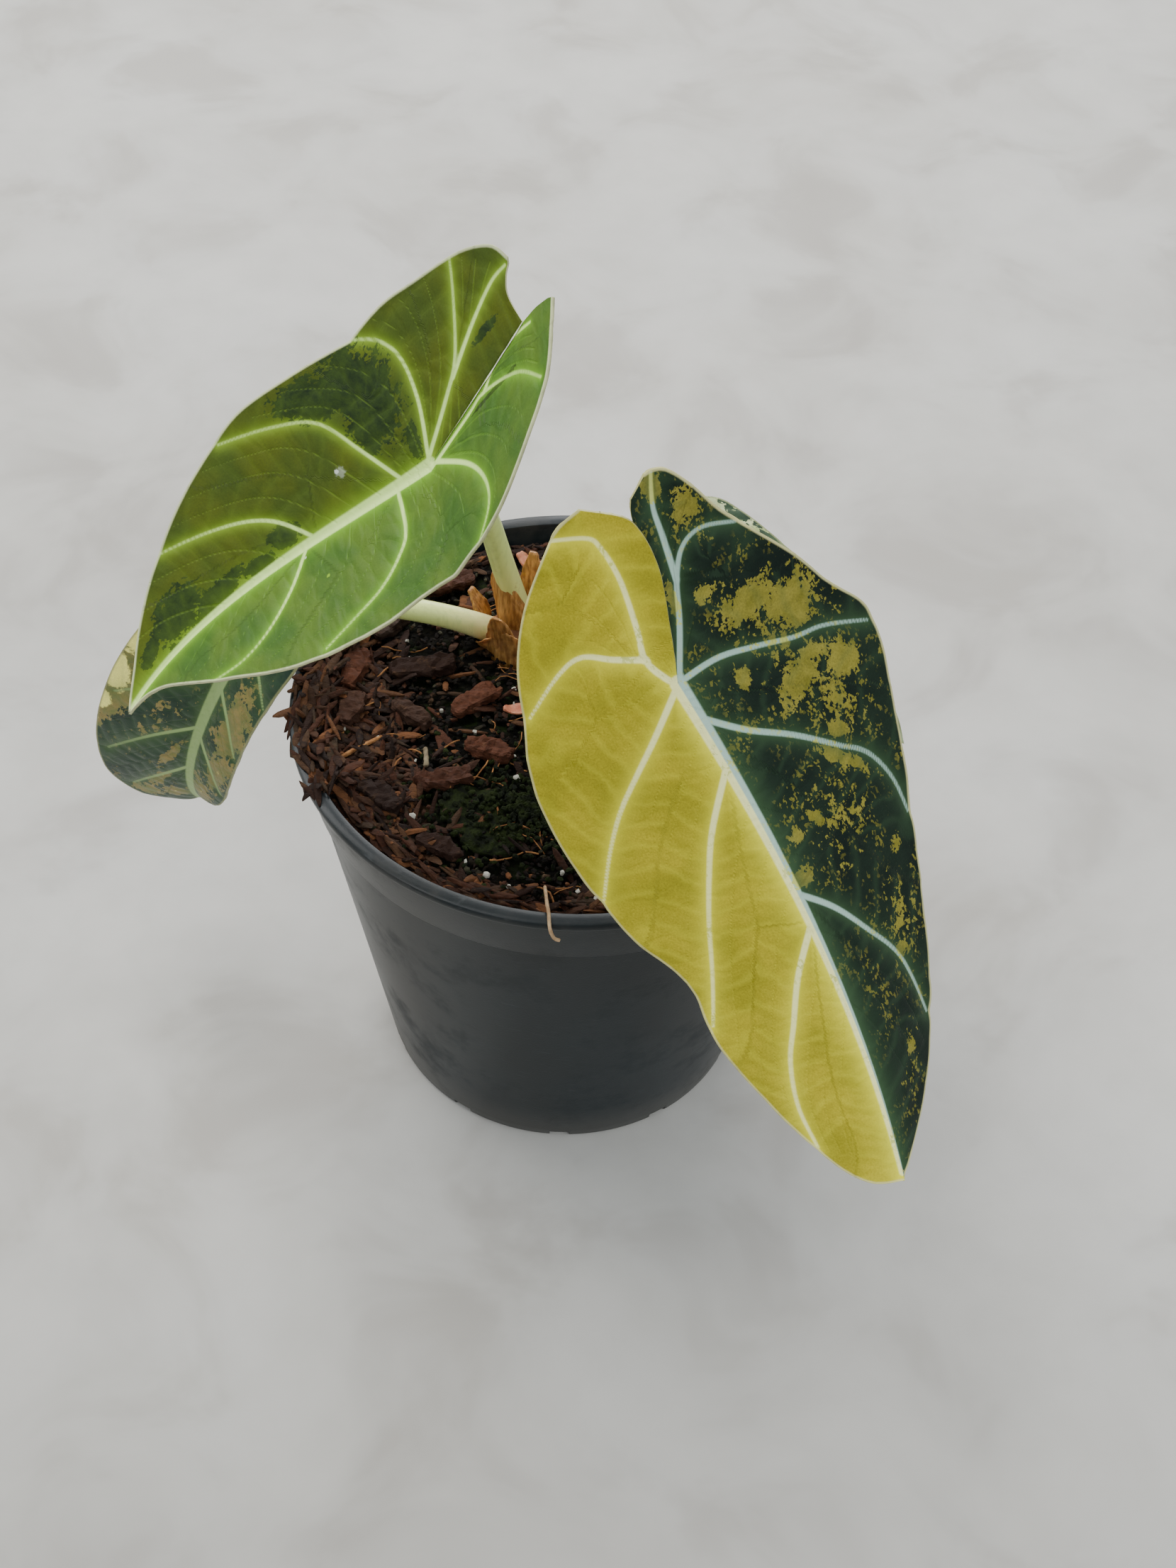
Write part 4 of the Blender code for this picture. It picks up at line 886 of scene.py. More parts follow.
def makeLeaves():
    rim = leafRim("leafRim", paint(198, 200, 150))
    goldRim = leafRim("goldRim", paint(190, 186, 120))
    under = leafUnder("greenUnderside", paint(128, 146, 92), paint(104, 118, 80))
    darkUnder = leafUnder("blushUnderside", paint(120, 134, 98), paint(112, 92, 84))
    surfaces = {}
    pieces = (
        ("a", leafA, "leafGreen", "green", under, rim, 230, 68),
        ("b", leafB, "leafHalfGold", "halfGold", darkUnder, goldRim, 270, 72),
        ("c", leafC, "leafDarkStreaked", "darkStreaked", darkUnder, rim, 180, 56),
        ("d", leafD, "leafPaleMottled", "paleMottled", darkUnder, rim, 150, 48),
    )
    for letter, leaf, name, look, back, border, rows, columns in pieces:
        materials = [leafTop(name, leafLooks[look]), back, border]
        surfaces[letter] = makeBlade("blade_" + letter, leaf, materials, rows, columns)
    return surfaces


surfaces = makeLeaves()
print("leaves ready")

# ---- stalks, each running on as the thick midrib under its blade

stalkValues = {
    "radius": 2.5 * mm, "ribStart": 1.25 * mm, "ribEnd": 0.25 * mm,
    "taper": (1.22, 1.12, 1.04, 1.0, 0.98, 0.96, 0.94, 0.91, 0.87, 0.82),
}
stalkRoutes = {
    "a": {"base": (0.0005, 0.0045), "start": (-0.30, 0.10, 0.95), "end": (-0.397, -0.627, 0.670),
          "reach": (0.030, 0.022), "tone": paint(230, 246, 156), "foot": paint(216, 214, 140)},
    "b": {"base": (0.0025, -0.0045), "start": (0.30, -0.10, 0.95), "end": (0.046, -0.847, 0.530),
          "reach": (0.036, 0.030), "tone": paint(190, 198, 126), "foot": paint(178, 150, 104)},
    "c": {"base": (-0.0048, 0.0005), "start": (-0.50, -0.45, 0.74), "end": (-0.50, -0.85, -0.10),
          "reach": (0.020, 0.018), "tone": paint(238, 254, 158), "foot": paint(234, 216, 160)},
    "d": {"base": (0.0060, 0.0015), "start": (0.55, 0.00, 0.84), "end": (0.45, -0.35, 0.82),
          "reach": (0.018, 0.014), "tone": paint(176, 188, 116), "foot": paint(170, 140, 100)},
}


def stalkMaterial(name, tone, foot):
    made, tree, shader = newMaterial(name)
    place = objectPlace(tree)
    along = attribute(tree, "along")
    streak = noiseAt(tree, stretch(tree, place, (1, 1, 0.16)), 900.0, 4.0, 0.6)
    freckle = noiseAt(tree, place, 420.0, 4.0, 0.7)
    colour = blendColour(tree, ramp(tree, along, 0.22, 0.0), tone, foot)
    colour = blendColour(tree, ramp(tree, along, 0.6, 1.0, 0.0, 0.5), colour, paint(140, 164, 78))
    dark = tuple(part * 0.72 for part in tone)
    colour = blendColour(tree, ramp(tree, streak, 0.42, 0.75, 0.0, 0.55), colour, dark)
    colour = blendColour(tree, ramp(tree, freckle, 0.62, 0.72, 0.0, 0.35), colour, paint(150, 120, 80))
    finishSurface(tree, shader, colour, ramp(tree, freckle, 0.3, 0.7, 0.32, 0.46))
    letLightIn(tree, shader, 0.12, (0.004, 0.004, 0.0015))
    bumpInto(tree, shader, streak, 0.22, 0.0004)
    return made


def tubeMesh(name, points, radii, sides=6):
    # round tube through the points; the share of its length is kept as "along"
    data = bpy.data.curves.new(name + "Path", "CURVE")
    data.dimensions = "3D"
    data.bevel_depth = 1.0
    data.bevel_resolution = sides
    data.use_fill_caps = True
    spline = data.splines.new("POLY")
    spline.points.add(len(points) - 1)
    for point, place, radius in zip(spline.points, points, radii):
        point.co = (*place, 1)
        point.radius = radius
    holder = addObject(name + "Path", data)
    graph = bpy.context.evaluated_depsgraph_get()
    mesh = bpy.data.meshes.new_from_object(holder.evaluated_get(graph))
    bpy.data.objects.remove(holder)
    bpy.data.curves.remove(data)
    shape = bmesh.new()
    shape.from_mesh(mesh)
    bpy.data.meshes.remove(mesh)
    bmesh.ops.remove_doubles(shape, verts=shape.verts, dist=1e-6)
    bmesh.ops.recalc_face_normals(shape, faces=shape.faces)
    course = np.array(points)
    layer = shape.verts.layers.float.new("along")
    for vert in shape.verts:
        nearest = np.argmin(np.linalg.norm(course - np.array(vert.co), axis=1))
        vert[layer] = nearest / (len(course) - 1)
    return shape


def makeStalk(letter, surface):
    route, values = stalkRoutes[letter], stalkValues
    start, end = unit(np.array(route["start"])), unit(np.array(route["end"]))
    base = crown + np.array((*route["base"], -0.0015))
    up = surface.frames(np.array([0.0]))[2][0]
    finish = surface.stalk - up * (bladeThickness + values["radius"] * 0.5)
    handles = np.array((base, base + start * route["reach"][0], finish - end * route["reach"][1], finish))
    stem = bezier(handles, np.linspace(0, 0.95, 26))
    stations = np.linspace(0.035, 0.93, 22)
    middle, _, normal = surface.frames(stations)
    ribRadius = np.linspace(values["ribStart"], values["ribEnd"], len(stations))
    sunk = surface.leaf["quilt"] * 0.8 * mm + bladeThickness
    rib = middle - normal * (sunk + ribRadius * 0.78)[:, None]
    points = smoothLine(np.concatenate((stem, rib)), np.linspace(0, 1, 110))
    taper = np.interp(np.linspace(0, 1, 26), np.linspace(0, 1, 10), values["taper"]) * values["radius"]
    radii = smoothLine(np.concatenate((taper, ribRadius))[:, None], np.linspace(0, 1, 110))[:, 0]
    shape = tubeMesh("stalk" + letter.upper(), [tuple(p) for p in points], radii)
    skin = stalkMaterial("stalk" + letter.upper(), route["tone"], route["foot"])
    finishPiece("petiole_" + letter, shape, [skin], ("petiole_" + letter,))


for letter, surface in surfaces.items():
    makeStalk(letter, surface)
print("stalks ready")


# ---- pot: one spun wall with a rolled rim, a collar, a foot ring and drain notches

potValues = {
    "height": 0.102, "topRadius": 0.060, "baseRadius": 0.042, "wall": 0.0014, "collar": 0.0145,
    "step": 0.0009, "bead": 0.0020, "footWidth": 0.0045, "footHeight": 0.0018, "disc": 0.011,
    "notches": 11, "notchWidth": 0.0045, "notchHeight": 0.0024, "steps": 144,
}


def potOuter(height):
    top = potValues["topRadius"] - potValues["bead"] / 2 - potValues["step"]
    return potValues["baseRadius"] + (top - potValues["baseRadius"]) * height / potValues["height"]


def potInner(height):
    return potOuter(height) - potValues["wall"]


def potMaterial():
    made, tree, shader = newMaterial("potPlastic")
    place = objectPlace(tree)
    wear = useGroup(tree, handlingWear, place=place, size=55.0)
    axes = parted(tree, place, "ShaderNodeSeparateXYZ")
    high, low = ramp(tree, axes["Z"], 0.080, 0.103), ramp(tree, axes["Z"], 0.016, 0.0)
    colour = blendColour(tree, ramp(tree, noiseAt(tree, place, 30.0, 3.0), 0.3, 0.7),
                         paint(14, 22, 25), paint(20, 29, 33))
    colour = blendColour(tree, times(tree, wear.outputs["dust"], 0.06), colour, paint(100, 104, 104))
    rimDust = times(tree, times(tree, wear.outputs["dust"], high), 0.16)
    colour = blendColour(tree, rimDust, colour, paint(112, 104, 94))
    colour = blendColour(tree, times(tree, low, 0.22), colour, paint(120, 116, 108))
    colour = blendColour(tree, times(tree, wear.outputs["scuff"], 0.10), colour, paint(128, 132, 134))
    rough = plus(tree, ramp(tree, wear.outputs["dust"], 0.0, 1.0, 0.33, 0.52),
                 times(tree, wear.outputs["scuff"], 0.12))
    finishSurface(tree, shader, colour, rough, 0.26)
    height = plus(tree, wear.outputs["grain"], times(tree, wear.outputs["scuff"], -0.6))
    bumpInto(tree, shader, height, 0.10, 0.0002)
    return made


def potProfile():
    # radius and height of each ring, from the inner floor over the rim to the middle of the underside
    v = potValues
    edge, step, top = 0.0006, v["height"] - v["collar"], v["height"]
    ring, floorTop = v["baseRadius"] - v["footWidth"], v["footHeight"] + v["wall"]
    beadBottom, overNotch = top - v["bead"], v["notchHeight"] + 2 * edge
    return [
        (0, floorTop), (potInner(floorTop) - 3 * edge, floorTop),
        (potInner(floorTop + edge), floorTop + 2 * edge),
        (potInner(0.05), 0.05), (potInner(top), top - edge), (potInner(top) + 0.3 * edge, top - 0.3 * edge),
        (potInner(top) + edge, top), (v["topRadius"] - edge, top),
        (v["topRadius"] - 0.3 * edge, top - 0.3 * edge),
        (v["topRadius"], top - edge), (v["topRadius"], beadBottom + edge),
        (v["topRadius"] - 0.3 * edge, beadBottom + 0.3 * edge), (v["topRadius"] - v["bead"] / 2, beadBottom),
        (potOuter(step) + v["step"], step + edge), (potOuter(step) + 0.7 * v["step"], step),
        (potOuter(step), step - edge), (potOuter(0.05), 0.05), (potOuter(overNotch), overNotch),
        (potOuter(2 * edge), 2 * edge),
        (v["baseRadius"] - edge, 0), (ring, 0), (ring - edge, v["footHeight"]),
        (v["disc"] + edge, v["footHeight"]), (v["disc"], 0), (0, 0),
    ]


def cutNotches(made):
    v = potValues
    tools = bmesh.new()
    depth = v["footWidth"] + 0.006
    for index in range(v["notches"]):
        angle = math.radians(-89) + 2 * math.pi * index / v["notches"]
        push = Matrix.Translation((v["baseRadius"] - depth / 2 + 0.003, 0, 0))
        place = Matrix.Rotation(angle, 4, "Z") @ push
        size = Matrix.Diagonal((depth, v["notchWidth"], 2 * v["notchHeight"], 1))
        bmesh.ops.create_cube(tools, size=1, matrix=place @ size)
    mesh = bpy.data.meshes.new("notchTool")
    tools.to_mesh(mesh)
    tools.free()
    tool = addObject("notchTool", mesh)
    notch = made.modifiers.new("notches", "BOOLEAN")
    notch.object = tool
    notch.solver = "EXACT"
    graph = bpy.context.evaluated_depsgraph_get()
    finished = bpy.data.meshes.new_from_object(made.evaluated_get(graph))
    made.modifiers.clear()
    made.data = finished
    bpy.data.objects.remove(tool)


def makePot():
    shape = bmesh.new()
    verts = [shape.verts.new((radius, 0, height)) for radius, height in potProfile()]
    edges = [shape.edges.new(pair) for pair in zip(verts, verts[1:])]
    bmesh.ops.spin(shape, geom=verts + edges, cent=(0, 0, 0), axis=(0, 0, 1), dvec=(0, 0, 0),
                   angle=2 * math.pi, steps=potValues["steps"], use_merge=True, use_duplicate=False)
    bmesh.ops.remove_doubles(shape, verts=shape.verts, dist=1e-6)
    bmesh.ops.recalc_face_normals(shape, faces=shape.faces)
    made = finishPiece("pot", shape, [potMaterial()], ("pot",))
    cutNotches(made)
    bevel = made.modifiers.new("softEdges", "BEVEL")
    bevel.width = 0.00022
    bevel.segments = 2
    bevel.limit_method = "ANGLE"
    bevel.angle_limit = math.radians(35)
    bevel.harden_normals = True


makePot()
print("pot ready")


# ---- growing medium and what lies on it

soilValues = {"level": 0.097, "riseLeft": 0.0022, "grid": 150, "low": 0.0009, "rough": 0.0011}
litterValues = {
    "radius": 0.0545, "endsWithin": 0.0552, "shards": 820, "crumbs": 1400, "peat": 2700, "spill": 210,
    "spillFrom": 144, "spillTo": 210, "spillInner": 0.0505, "spillOuter": 0.0600, "spillLevel": 0.1012,
}
looseValues = {
    "tufts": 900, "tuftsAt": (-0.0080, -0.0270), "tuftsReach": (0.0270, 0.0190), "tuftsWithin": 0.0540,
    "specks": 46, "specksWithin": 0.052, "hairs": 110, "hairsWithin": 0.0550,
}


def soilHeight(x, y):
    left = max(0.0, -x / 0.060)
    nearCrown = math.exp(-((x - crown[0]) ** 2 + (y - crown[1]) ** 2) / 0.018 ** 2)
    return soilValues["level"] + soilValues["riseLeft"] * left + 0.0008 * nearCrown


def darkShare(x, y):
    # how much of the fine dark peat shows at a spot: bark covers the left and a band along the rim
    wander = 0.006 * noise.noise(Vector((x * 70, y * 70, 3)))
    fromLeft = (x + 0.3 * y + 0.045 + wander) / 0.010
    fromRim = (0.0540 - math.hypot(x, y) + wander) / 0.005
    return max(0.0, min(1.0, fromLeft, fromRim))


def mediumMaterial():
    made, tree, shader = newMaterial("coirAndPeat")
    place = objectPlace(tree)
    cells = addNode(tree, "ShaderNodeTexVoronoi", feature="F1")
    tree.links.new(stretch(tree, place, (1.0, 1.7, 1.0), (0, 0, 0.6)), cells.inputs["Vector"])
    feed(tree, cells, "Scale", 420.0)
    bits = parted(tree, cells.outputs["Color"])
    fine = noiseAt(tree, place, 900.0, 5.0, 0.7)
    dark = attribute(tree, "dark")
    colour = blendColour(tree, bits[0], paint(26, 17, 13), paint(62, 38, 27))
    colour = blendColour(tree, ramp(tree, bits[1], 0.78, 0.86, 0.0, 0.6), colour, paint(104, 70, 46))
    peat = blendColour(tree, ramp(tree, fine, 0.4, 0.6), paint(8, 7, 5), paint(24, 21, 14))
    algae = blendColour(tree, ramp(tree, bits[2], 0.4, 0.8), paint(14, 20, 8), paint(34, 48, 16))
    algaeShare = times(tree, ramp(tree, noiseAt(tree, place, 150.0, 3.0), 0.44, 0.6), 0.75)
    peat = blendColour(tree, algaeShare, peat, algae)
    colour = blendColour(tree, dark, colour, peat)
    colour = blendColour(tree, ramp(tree, fine, 0.66, 0.72, 0.0, 0.25), colour, paint(124, 108, 84))
    finishSurface(tree, shader, colour, 0.9, 0.15)
    height = plus(tree, times(tree, cells.outputs["Distance"], -1.0), times(tree, fine, 0.8))
    bumpInto(tree, shader, height, 0.9, 0.0012)
    return made


def makeMedium():
    v = soilValues
    radius, bottom = potInner(v["level"]) - 0.0002, 0.0036
    shape = bmesh.new()
    bmesh.ops.create_grid(shape, x_segments=v["grid"], y_segments=v["grid"], size=1)
    dark = shape.verts.layers.float.new("dark")
    for vert in shape.verts:
        u, w = vert.co.x, vert.co.y
        x = radius * u * math.sqrt(1 - w * w / 2)
        y = radius * w * math.sqrt(1 - u * u / 2)
        spot = Vector((x, y, 0))
        lump = noise.fractal(spot * 260, 1.0, 2.2, 4) + 0.6 * noise.noise(spot * 70)
        vert.co = (x, y, soilHeight(x, y) - v["low"] + v["rough"] * lump)
        vert[dark] = darkShare(x, y)
    border = [edge for edge in shape.edges if edge.is_boundary]
    made = bmesh.ops.extrude_edge_only(shape, edges=border)
    lower = [item for item in made["geom"] if isinstance(item, bmesh.types.BMVert)]
    share = (potInner(bottom) - 0.0008) / radius
    for vert in lower:
        vert.co = (vert.co.x * share, vert.co.y * share, bottom)
    bmesh.ops.holes_fill(shape, edges=[edge for edge in shape.edges if edge.is_boundary], sides=0)
    bmesh.ops.recalc_face_normals(shape, faces=shape.faces)
    finishPiece("substrate", shape, [mediumMaterial()], ("substrate",))


def barkMaterial(name, tones, shine=0.78):
    made, tree, shader = newMaterial(name)
    place = objectPlace(tree)
    tone = attribute(tree, "tone")
    bands = addNode(tree, "ShaderNodeValToRGB")
    while len(bands.color_ramp.elements) < len(tones):
        bands.color_ramp.elements.new(0.5)
    for index, (element, colour) in enumerate(zip(bands.color_ramp.elements, tones)):
        element.position = index / (len(tones) - 1)
        element.color = (*colour, 1)
    tree.links.new(tone, bands.inputs[0])
    streak = noiseAt(tree, stretch(tree, place, (0.4, 1.0, 1.0), (0, 0, 0.5)), 1300.0, 4.0, 0.65)
    blotch = noiseAt(tree, place, 420.0, 3.0, 0.6)
    colour = blendColour(tree, ramp(tree, streak, 0.35, 0.7), bands.outputs[0], paint(40, 26, 20))
    colour = blendColour(tree, 0.45, bands.outputs[0], colour)
    colour = blendColour(tree, ramp(tree, blotch, 0.55, 0.8, 0.0, 0.35), colour, paint(126, 96, 72))
    rough = ramp(tree, blotch, 0.3, 0.7, shine - 0.08, shine + 0.1)
    finishSurface(tree, shader, colour, rough, 0.2)
    height = plus(tree, streak, times(tree, blotch, 0.6))
    bumpInto(tree, shader, height, 0.7, 0.0006)
    return made


chance = random.Random(11)


def bitPlace(x, y, lift, turn, tip, size):
    spin = Matrix.Rotation(turn, 4, "Z") @ Matrix.Rotation(tip, 4, "Y")
    place = Matrix.Translation((x, y, soilHeight(x, y) + lift))
    return place @ spin @ Matrix.Diagonal((*size, 1))


def newBits():
    shape = bmesh.new()
    return shape, shape.verts.layers.float.new("tone")


def addBit(shape, layer, matrix, detail, jitter, tone):
    made = bmesh.ops.create_icosphere(shape, subdivisions=detail, radius=0.5, matrix=matrix)
    for vert in made["verts"]:
        push = Vector([chance.uniform(-1, 1) for _ in range(3)])
        vert.co += matrix.to_3x3() @ (push * jitter)
        vert[layer] = tone
    return made["verts"]


def scatterBits(name, count, wanted, lengths, widths, heights, detail, jitter, toneAt, materials,
                liftBy=0.0003, tilt=0.35):
    shape, layer = newBits()
    placed = 0
    while placed < count:
        angle, out = chance.uniform(0, 2 * math.pi), math.sqrt(chance.random()) * litterValues["radius"]
        x, y = out * math.cos(angle), out * math.sin(angle)
        if chance.random() > wanted(x, y):
            continue
        size = (chance.uniform(*lengths), chance.uniform(*widths), chance.uniform(*heights))
        turn = chance.uniform(0, math.pi)
        if size[0] / 2 > litterValues["endsWithin"] - out:
            turn = angle + math.pi / 2 + chance.gauss(0, 0.10)
        matrix = bitPlace(x, y, liftBy + size[2] * 0.2, turn, chance.gauss(0, tilt), size)
        addBit(shape, layer, matrix, detail, jitter, toneAt(x, y))
        placed += 1
    return finishPiece(name, shape, materials, smooth=False)


def barkWanted(x, y):
    # bark lies thick at the left and the back, and in a band along the front rim
    return max(0.05, 1.0 - 0.97 * darkShare(x, y))


def makeLitter():
    v = litterValues
    bark = barkMaterial("litterBark", (paint(26, 15, 10), paint(46, 27, 18), paint(76, 43, 27),
                                       paint(52, 40, 28), paint(124, 78, 46)))
    peat = barkMaterial("peatCrumb", (paint(7, 6, 4), paint(13, 12, 7), paint(22, 20, 11),
                                      paint(70, 68, 52)), 0.9)
    scatterBits("barkShards", v["shards"], barkWanted, (0.0040, 0.0125), (0.0008, 0.0022), (0.0005, 0.0012),
                2, 0.06, lambda x, y: chance.random() ** 1.2, [bark])
    scatterBits("barkCrumbs", v["crumbs"], barkWanted, (0.0010, 0.0026), (0.0007, 0.0014),
                (0.0005, 0.0011), 1, 0.10, lambda x, y: chance.random(), [bark])
    scatterBits("peatCrumbs", v["peat"], lambda x, y: max(0.12, darkShare(x, y)), (0.0008, 0.0022),
                (0.0006, 0.0014), (0.0005, 0.0012), 1, 0.12, lambda x, y: chance.random() ** 2.6,
                [peat])


def makeSpill():
    # bark heaped over the rim at the left
    v = litterValues
    bark = bpy.data.materials["litterBark"]
    shape, layer = newBits()
    for _ in range(v["spill"]):
        angle = math.radians(chance.uniform(v["spillFrom"], v["spillTo"]))
        out = chance.uniform(v["spillInner"], v["spillOuter"])
        size = (chance.uniform(0.003, 0.0095), chance.uniform(0.0008, 0.0022),
                chance.uniform(0.0006, 0.0012))
        x, y = out * math.cos(angle), out * math.sin(angle)
        rise = v["spillLevel"] + 0.0016 * chance.random() + 0.0006 * (out < 0.058)
        turn = Matrix.Rotation(angle + chance.gauss(1.4, 0.6), 4, "Z")
        tip = Matrix.Rotation(chance.gauss(0, 0.3), 4, "Y")
        matrix = Matrix.Translation((x, y, rise)) @ turn @ tip @ Matrix.Diagonal((*size, 1))
        addBit(shape, layer, matrix, 2, 0.055, chance.random() ** 1.2)
    finishPiece("barkSpill", shape, [bark], smooth=False)


def refine(node, materials, cuts, amount, scale, smoothing=0, flat=False, tone=None):
    # a finer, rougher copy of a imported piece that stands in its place
    shape = bmesh.new()
    shape.from_mesh(nodes[node].data)
    bmesh.ops.remove_doubles(shape, verts=shape.verts, dist=1e-6)
    if cuts:
        bmesh.ops.subdivide_edges(shape, edges=shape.edges, cuts=cuts, use_grid_fill=True)
    for _ in range(smoothing):
        bmesh.ops.smooth_vert(shape, verts=shape.verts, factor=0.5, use_axis_x=True, use_axis_y=True,
                              use_axis_z=True)
    shape.normal_update()
    layer = shape.verts.layers.float.new("tone")
    value = chance.random() if tone is None else tone
    for vert in shape.verts:
        wave = noise.fractal(vert.co * scale, 1.0, 2.0, 3)
        vert[layer] = value
        vert.co += vert.normal * wave * amount
    return finishPiece(node, shape, materials, (node,), smooth=not flat)


def plainMaterial(name, first, second, scale, rough, bump=0.5, third=None):
    made, tree, shader = newMaterial(name)
    place = objectPlace(tree)
    broad = noiseAt(tree, place, scale, 4.0, 0.6)
    fine = noiseAt(tree, place, scale * 5, 4.0, 0.7)
    colour = blendColour(tree, ramp(tree, broad, 0.35, 0.65), first, second)
    if third is not None:
        colour = blendColour(tree, ramp(tree, fine, 0.55, 0.7, 0.0, 0.6), colour, third)
    finishSurface(tree, shader, colour, ramp(tree, fine, 0.3, 0.7, rough - 0.08, rough + 0.08), 0.22)
    bumpInto(tree, shader, plus(tree, broad, times(tree, fine, 0.5)), bump, 0.0004)
    return made


def papery(name):
    made, tree, shader = newMaterial(name)
    place = objectPlace(tree)
    streak = noiseAt(tree, stretch(tree, place, (1, 1, 0.12)), 1500.0, 4.0, 0.6)
    blotch = noiseAt(tree, place, 210.0, 3.0, 0.55)
    colour = blendColour(tree, ramp(tree, streak, 0.35, 0.65), paint(142, 96, 46), paint(196, 144, 82))
    colour = blendColour(tree, ramp(tree, blotch, 0.5, 0.75, 0.0, 0.7), colour, paint(98, 56, 24))
    finishSurface(tree, shader, colour, ramp(tree, blotch, 0.3, 0.7, 0.42, 0.6))
    letLightIn(tree, shader, 0.15, (0.004, 0.002, 0.0006))
    bumpInto(tree, shader, streak, 0.5, 0.0004)
    return made


sheathWraps = (
    {"name": "sheathWrapA", "base": (0.0, 0.0040), "lean": (-0.20, 0.10, 0.97), "radius": 0.0036,
     "height": 0.019, "from": 150, "to": 345},
    {"name": "sheathWrapC", "base": (-0.0042, -0.0002), "lean": (-0.42, -0.38, 0.82), "radius": 0.0036,
     "height": 0.0095, "from": -170, "to": 60},
    {"name": "sheathWrapMid", "base": (-0.0008, -0.0030), "lean": (0.05, -0.15, 0.98), "radius": 0.0050,
     "height": 0.0120, "from": 170, "to": 330},
    {"name": "sheathWrapB", "base": (0.0030, -0.0040), "lean": (0.22, -0.10, 0.97), "radius": 0.0037,
     "height": 0.0150, "from": 180, "to": 400},
)


def makeWrap(values, material):
    # torn papery sheath round a stalk's foot
    shape = bmesh.new()
    bmesh.ops.create_grid(shape, x_segments=26, y_segments=22, size=1)
    lean = Vector(values["lean"]).normalized()
    foot = Vector(crown) + Vector((*values["base"], -0.0035))
    for vert in shape.verts:
        rise, turn = (vert.co.y + 1) / 2, vert.co.x
        ripped = noise.noise(Vector((turn * 4, values["height"] * 900, 0)))
        ragged = 1 - 0.42 * abs(turn) ** 1.5 + 0.10 * ripped
        narrow = 1 - 0.35 * rise ** 2
        angle = math.radians((values["from"] + values["to"]) / 2
                             + (values["to"] - values["from"]) / 2 * turn * narrow)
        ripple = 0.00025 * noise.noise(Vector((turn * 5, rise * 7, 1))) + 0.0003 * rise ** 2
        out = values["radius"] * (1 + 0.25 * (1 - rise) ** 2) + ripple
        vert.co = foot + lean * values["height"] * rise * ragged
        vert.co += Vector((math.cos(angle), math.sin(angle), 0)) * out
    bmesh.ops.recalc_face_normals(shape, faces=shape.faces)
    made = finishPiece(values["name"], shape, [material])
    solid = made.modifiers.new("skin", "SOLIDIFY")
    solid.thickness = 0.00022
    solid.offset = 0


def makeCrown():
    skin = papery("papery")
    for values in sheathWraps:
        makeWrap(values, skin)
    for index in (1, 2, 3):
        refine("sheath_%d" % index, [skin], 3, 0.0003, 400)
    cork = plainMaterial("rhizomeCork", paint(92, 58, 36), paint(128, 86, 52), 240.0, 0.75, 0.8,
                         paint(60, 38, 26))
    refine("rhizome", [cork], 3, 0.0005, 300)


def makeLooseThings():
    chunk = barkMaterial("barkChunk", (paint(34, 20, 14), paint(62, 36, 24), paint(92, 52, 34),
                                       paint(50, 38, 30)))
    for index in range(1, 16):
        refine("bark_chip_%02d" % index, [chunk], 4, 0.00095, 520, 2, True)
    stone = plainMaterial("perliteGrain", paint(206, 202, 190), paint(176, 172, 160), 500.0, 0.85, 0.8)
    for index in range(1, 9):
        refine("perlite_%d" % index, [stone], 2, 0.00025, 900, 1)
    dry = plainMaterial("dryFlakeSkin", paint(206, 140, 108), paint(178, 104, 78), 260.0, 0.5, 0.6,
                        paint(222, 176, 146))
    for index in (1, 2):
        refine("dry_flake_%d" % index, [dry], 4, 0.00035, 320, 2)
    moss = plainMaterial("mossGreen", paint(10, 15, 4), paint(34, 44, 12), 420.0, 0.95, 1.0, paint(7, 7, 4))
    refine("moss_patch", [moss], 5, 0.0009, 420)
    pale = plainMaterial("rootFibre", paint(196, 168, 132), paint(160, 128, 94), 500.0, 0.7)
    refine("fibre_over_rim", [pale], 2, 0.00006, 900, 2)
    tan = plainMaterial("coirStrand", paint(172, 122, 74), paint(134, 88, 52), 600.0, 0.75)
    refine("coir_strand", [tan], 2, 0.00012, 900, 2)
    grey = plainMaterial("greyTwig", paint(150, 138, 112), paint(112, 98, 78), 600.0, 0.8)
    refine("grey_stick", [grey], 2, 0.00012, 900, 2)


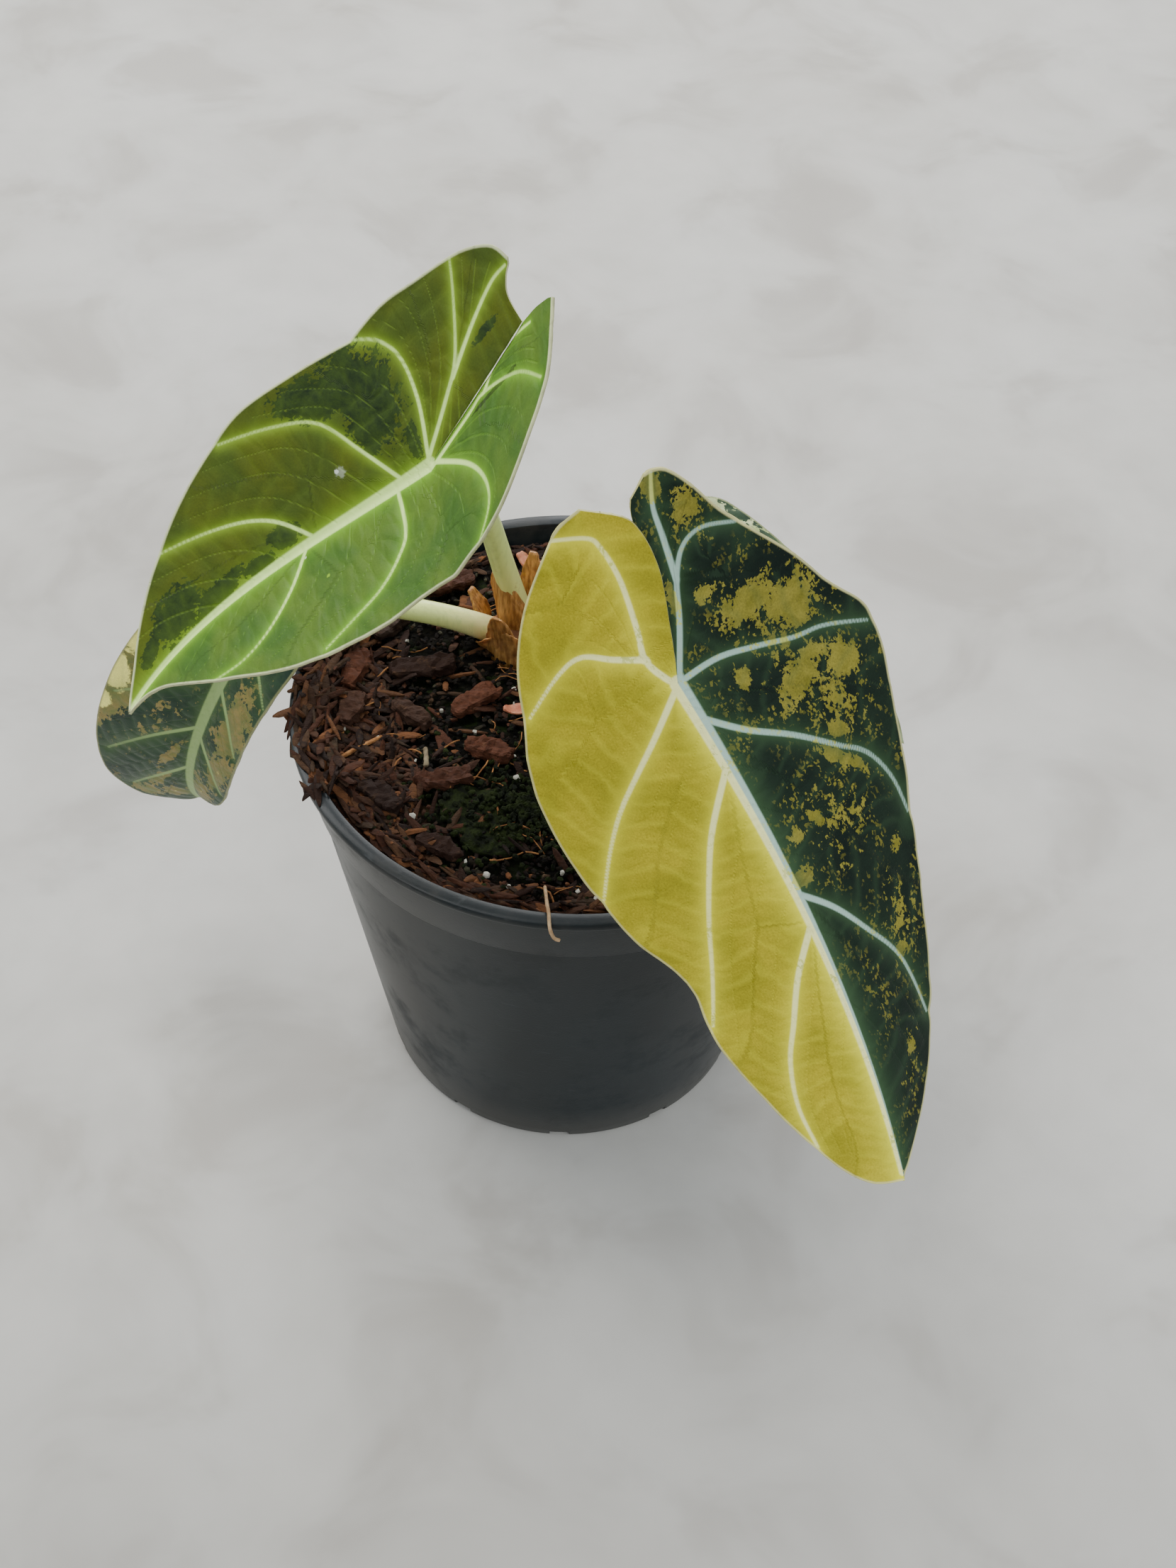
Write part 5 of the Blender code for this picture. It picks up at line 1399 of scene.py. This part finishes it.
def makeMossTufts():
    v = looseValues
    moss = bpy.data.materials["mossGreen"]
    shape, layer = newBits()
    for _ in range(v["tufts"]):
        angle, out = chance.uniform(0, 2 * math.pi), abs(chance.gauss(0, 0.62))
        x = v["tuftsAt"][0] + v["tuftsReach"][0] * out * math.cos(angle)
        y = v["tuftsAt"][1] + v["tuftsReach"][1] * out * math.sin(angle)
        if math.hypot(x, y) > v["tuftsWithin"]:
            continue
        size = [chance.uniform(0.0006, 0.0017) for _ in range(3)]
        lift = 0.0007 + 0.0012 * max(0, 1 - out)
        addBit(shape, layer, bitPlace(x, y, lift, chance.uniform(0, 3), 0.0, size), 1, 0.12, chance.random())
    finishPiece("mossTufts", shape, [moss], smooth=False)


def makePerliteSpecks():
    v = looseValues
    stone = bpy.data.materials["perliteGrain"]
    shape, layer = newBits()
    for _ in range(v["specks"]):
        angle = chance.uniform(math.radians(150), math.radians(330))
        out = v["specksWithin"] * math.sqrt(chance.random())
        size = [chance.uniform(0.0006, 0.0015) for _ in range(3)]
        addBit(shape, layer, bitPlace(out * math.cos(angle), out * math.sin(angle), 0.0008, 0.0, 0.0, size),
               1, 0.14, chance.random())
    finishPiece("perliteSpecks", shape, [stone], smooth=False)


def makeFibres():
    # fine coir hairs among the bark
    tan = bpy.data.materials["coirStrand"]
    joined = bmesh.new()
    for index in range(looseValues["hairs"]):
        angle, out = chance.uniform(0, 2 * math.pi), 0.050 * math.sqrt(chance.random())
        x, y, heading = out * math.cos(angle), out * math.sin(angle), chance.uniform(0, 2 * math.pi)
        points, length = [], chance.uniform(0.006, 0.014)
        for step in range(8):
            heading += chance.gauss(0, 0.28)
            x += length / 8 * math.cos(heading)
            y += length / 8 * math.sin(heading)
            if math.hypot(x, y) > looseValues["hairsWithin"]:
                break
            points.append((x, y, soilHeight(x, y) + 0.0009 + 0.0007 * math.sin(step * 0.8 + index)))
        if len(points) < 4:
            continue
        radius = chance.uniform(0.00010, 0.00022)
        tube = tubeMesh("hair", points, [radius] * len(points), 0)
        mesh = bpy.data.meshes.new("hair")
        tube.to_mesh(mesh)
        tube.free()
        joined.from_mesh(mesh)
        bpy.data.meshes.remove(mesh)
    finishPiece("coirHairs", joined, [tan])


makeMedium()
makeLitter()
makeSpill()
print("growing medium ready")
makeCrown()
makeLooseThings()
makeMossTufts()
makePerliteSpecks()
makeFibres()
print("crown and loose pieces ready")
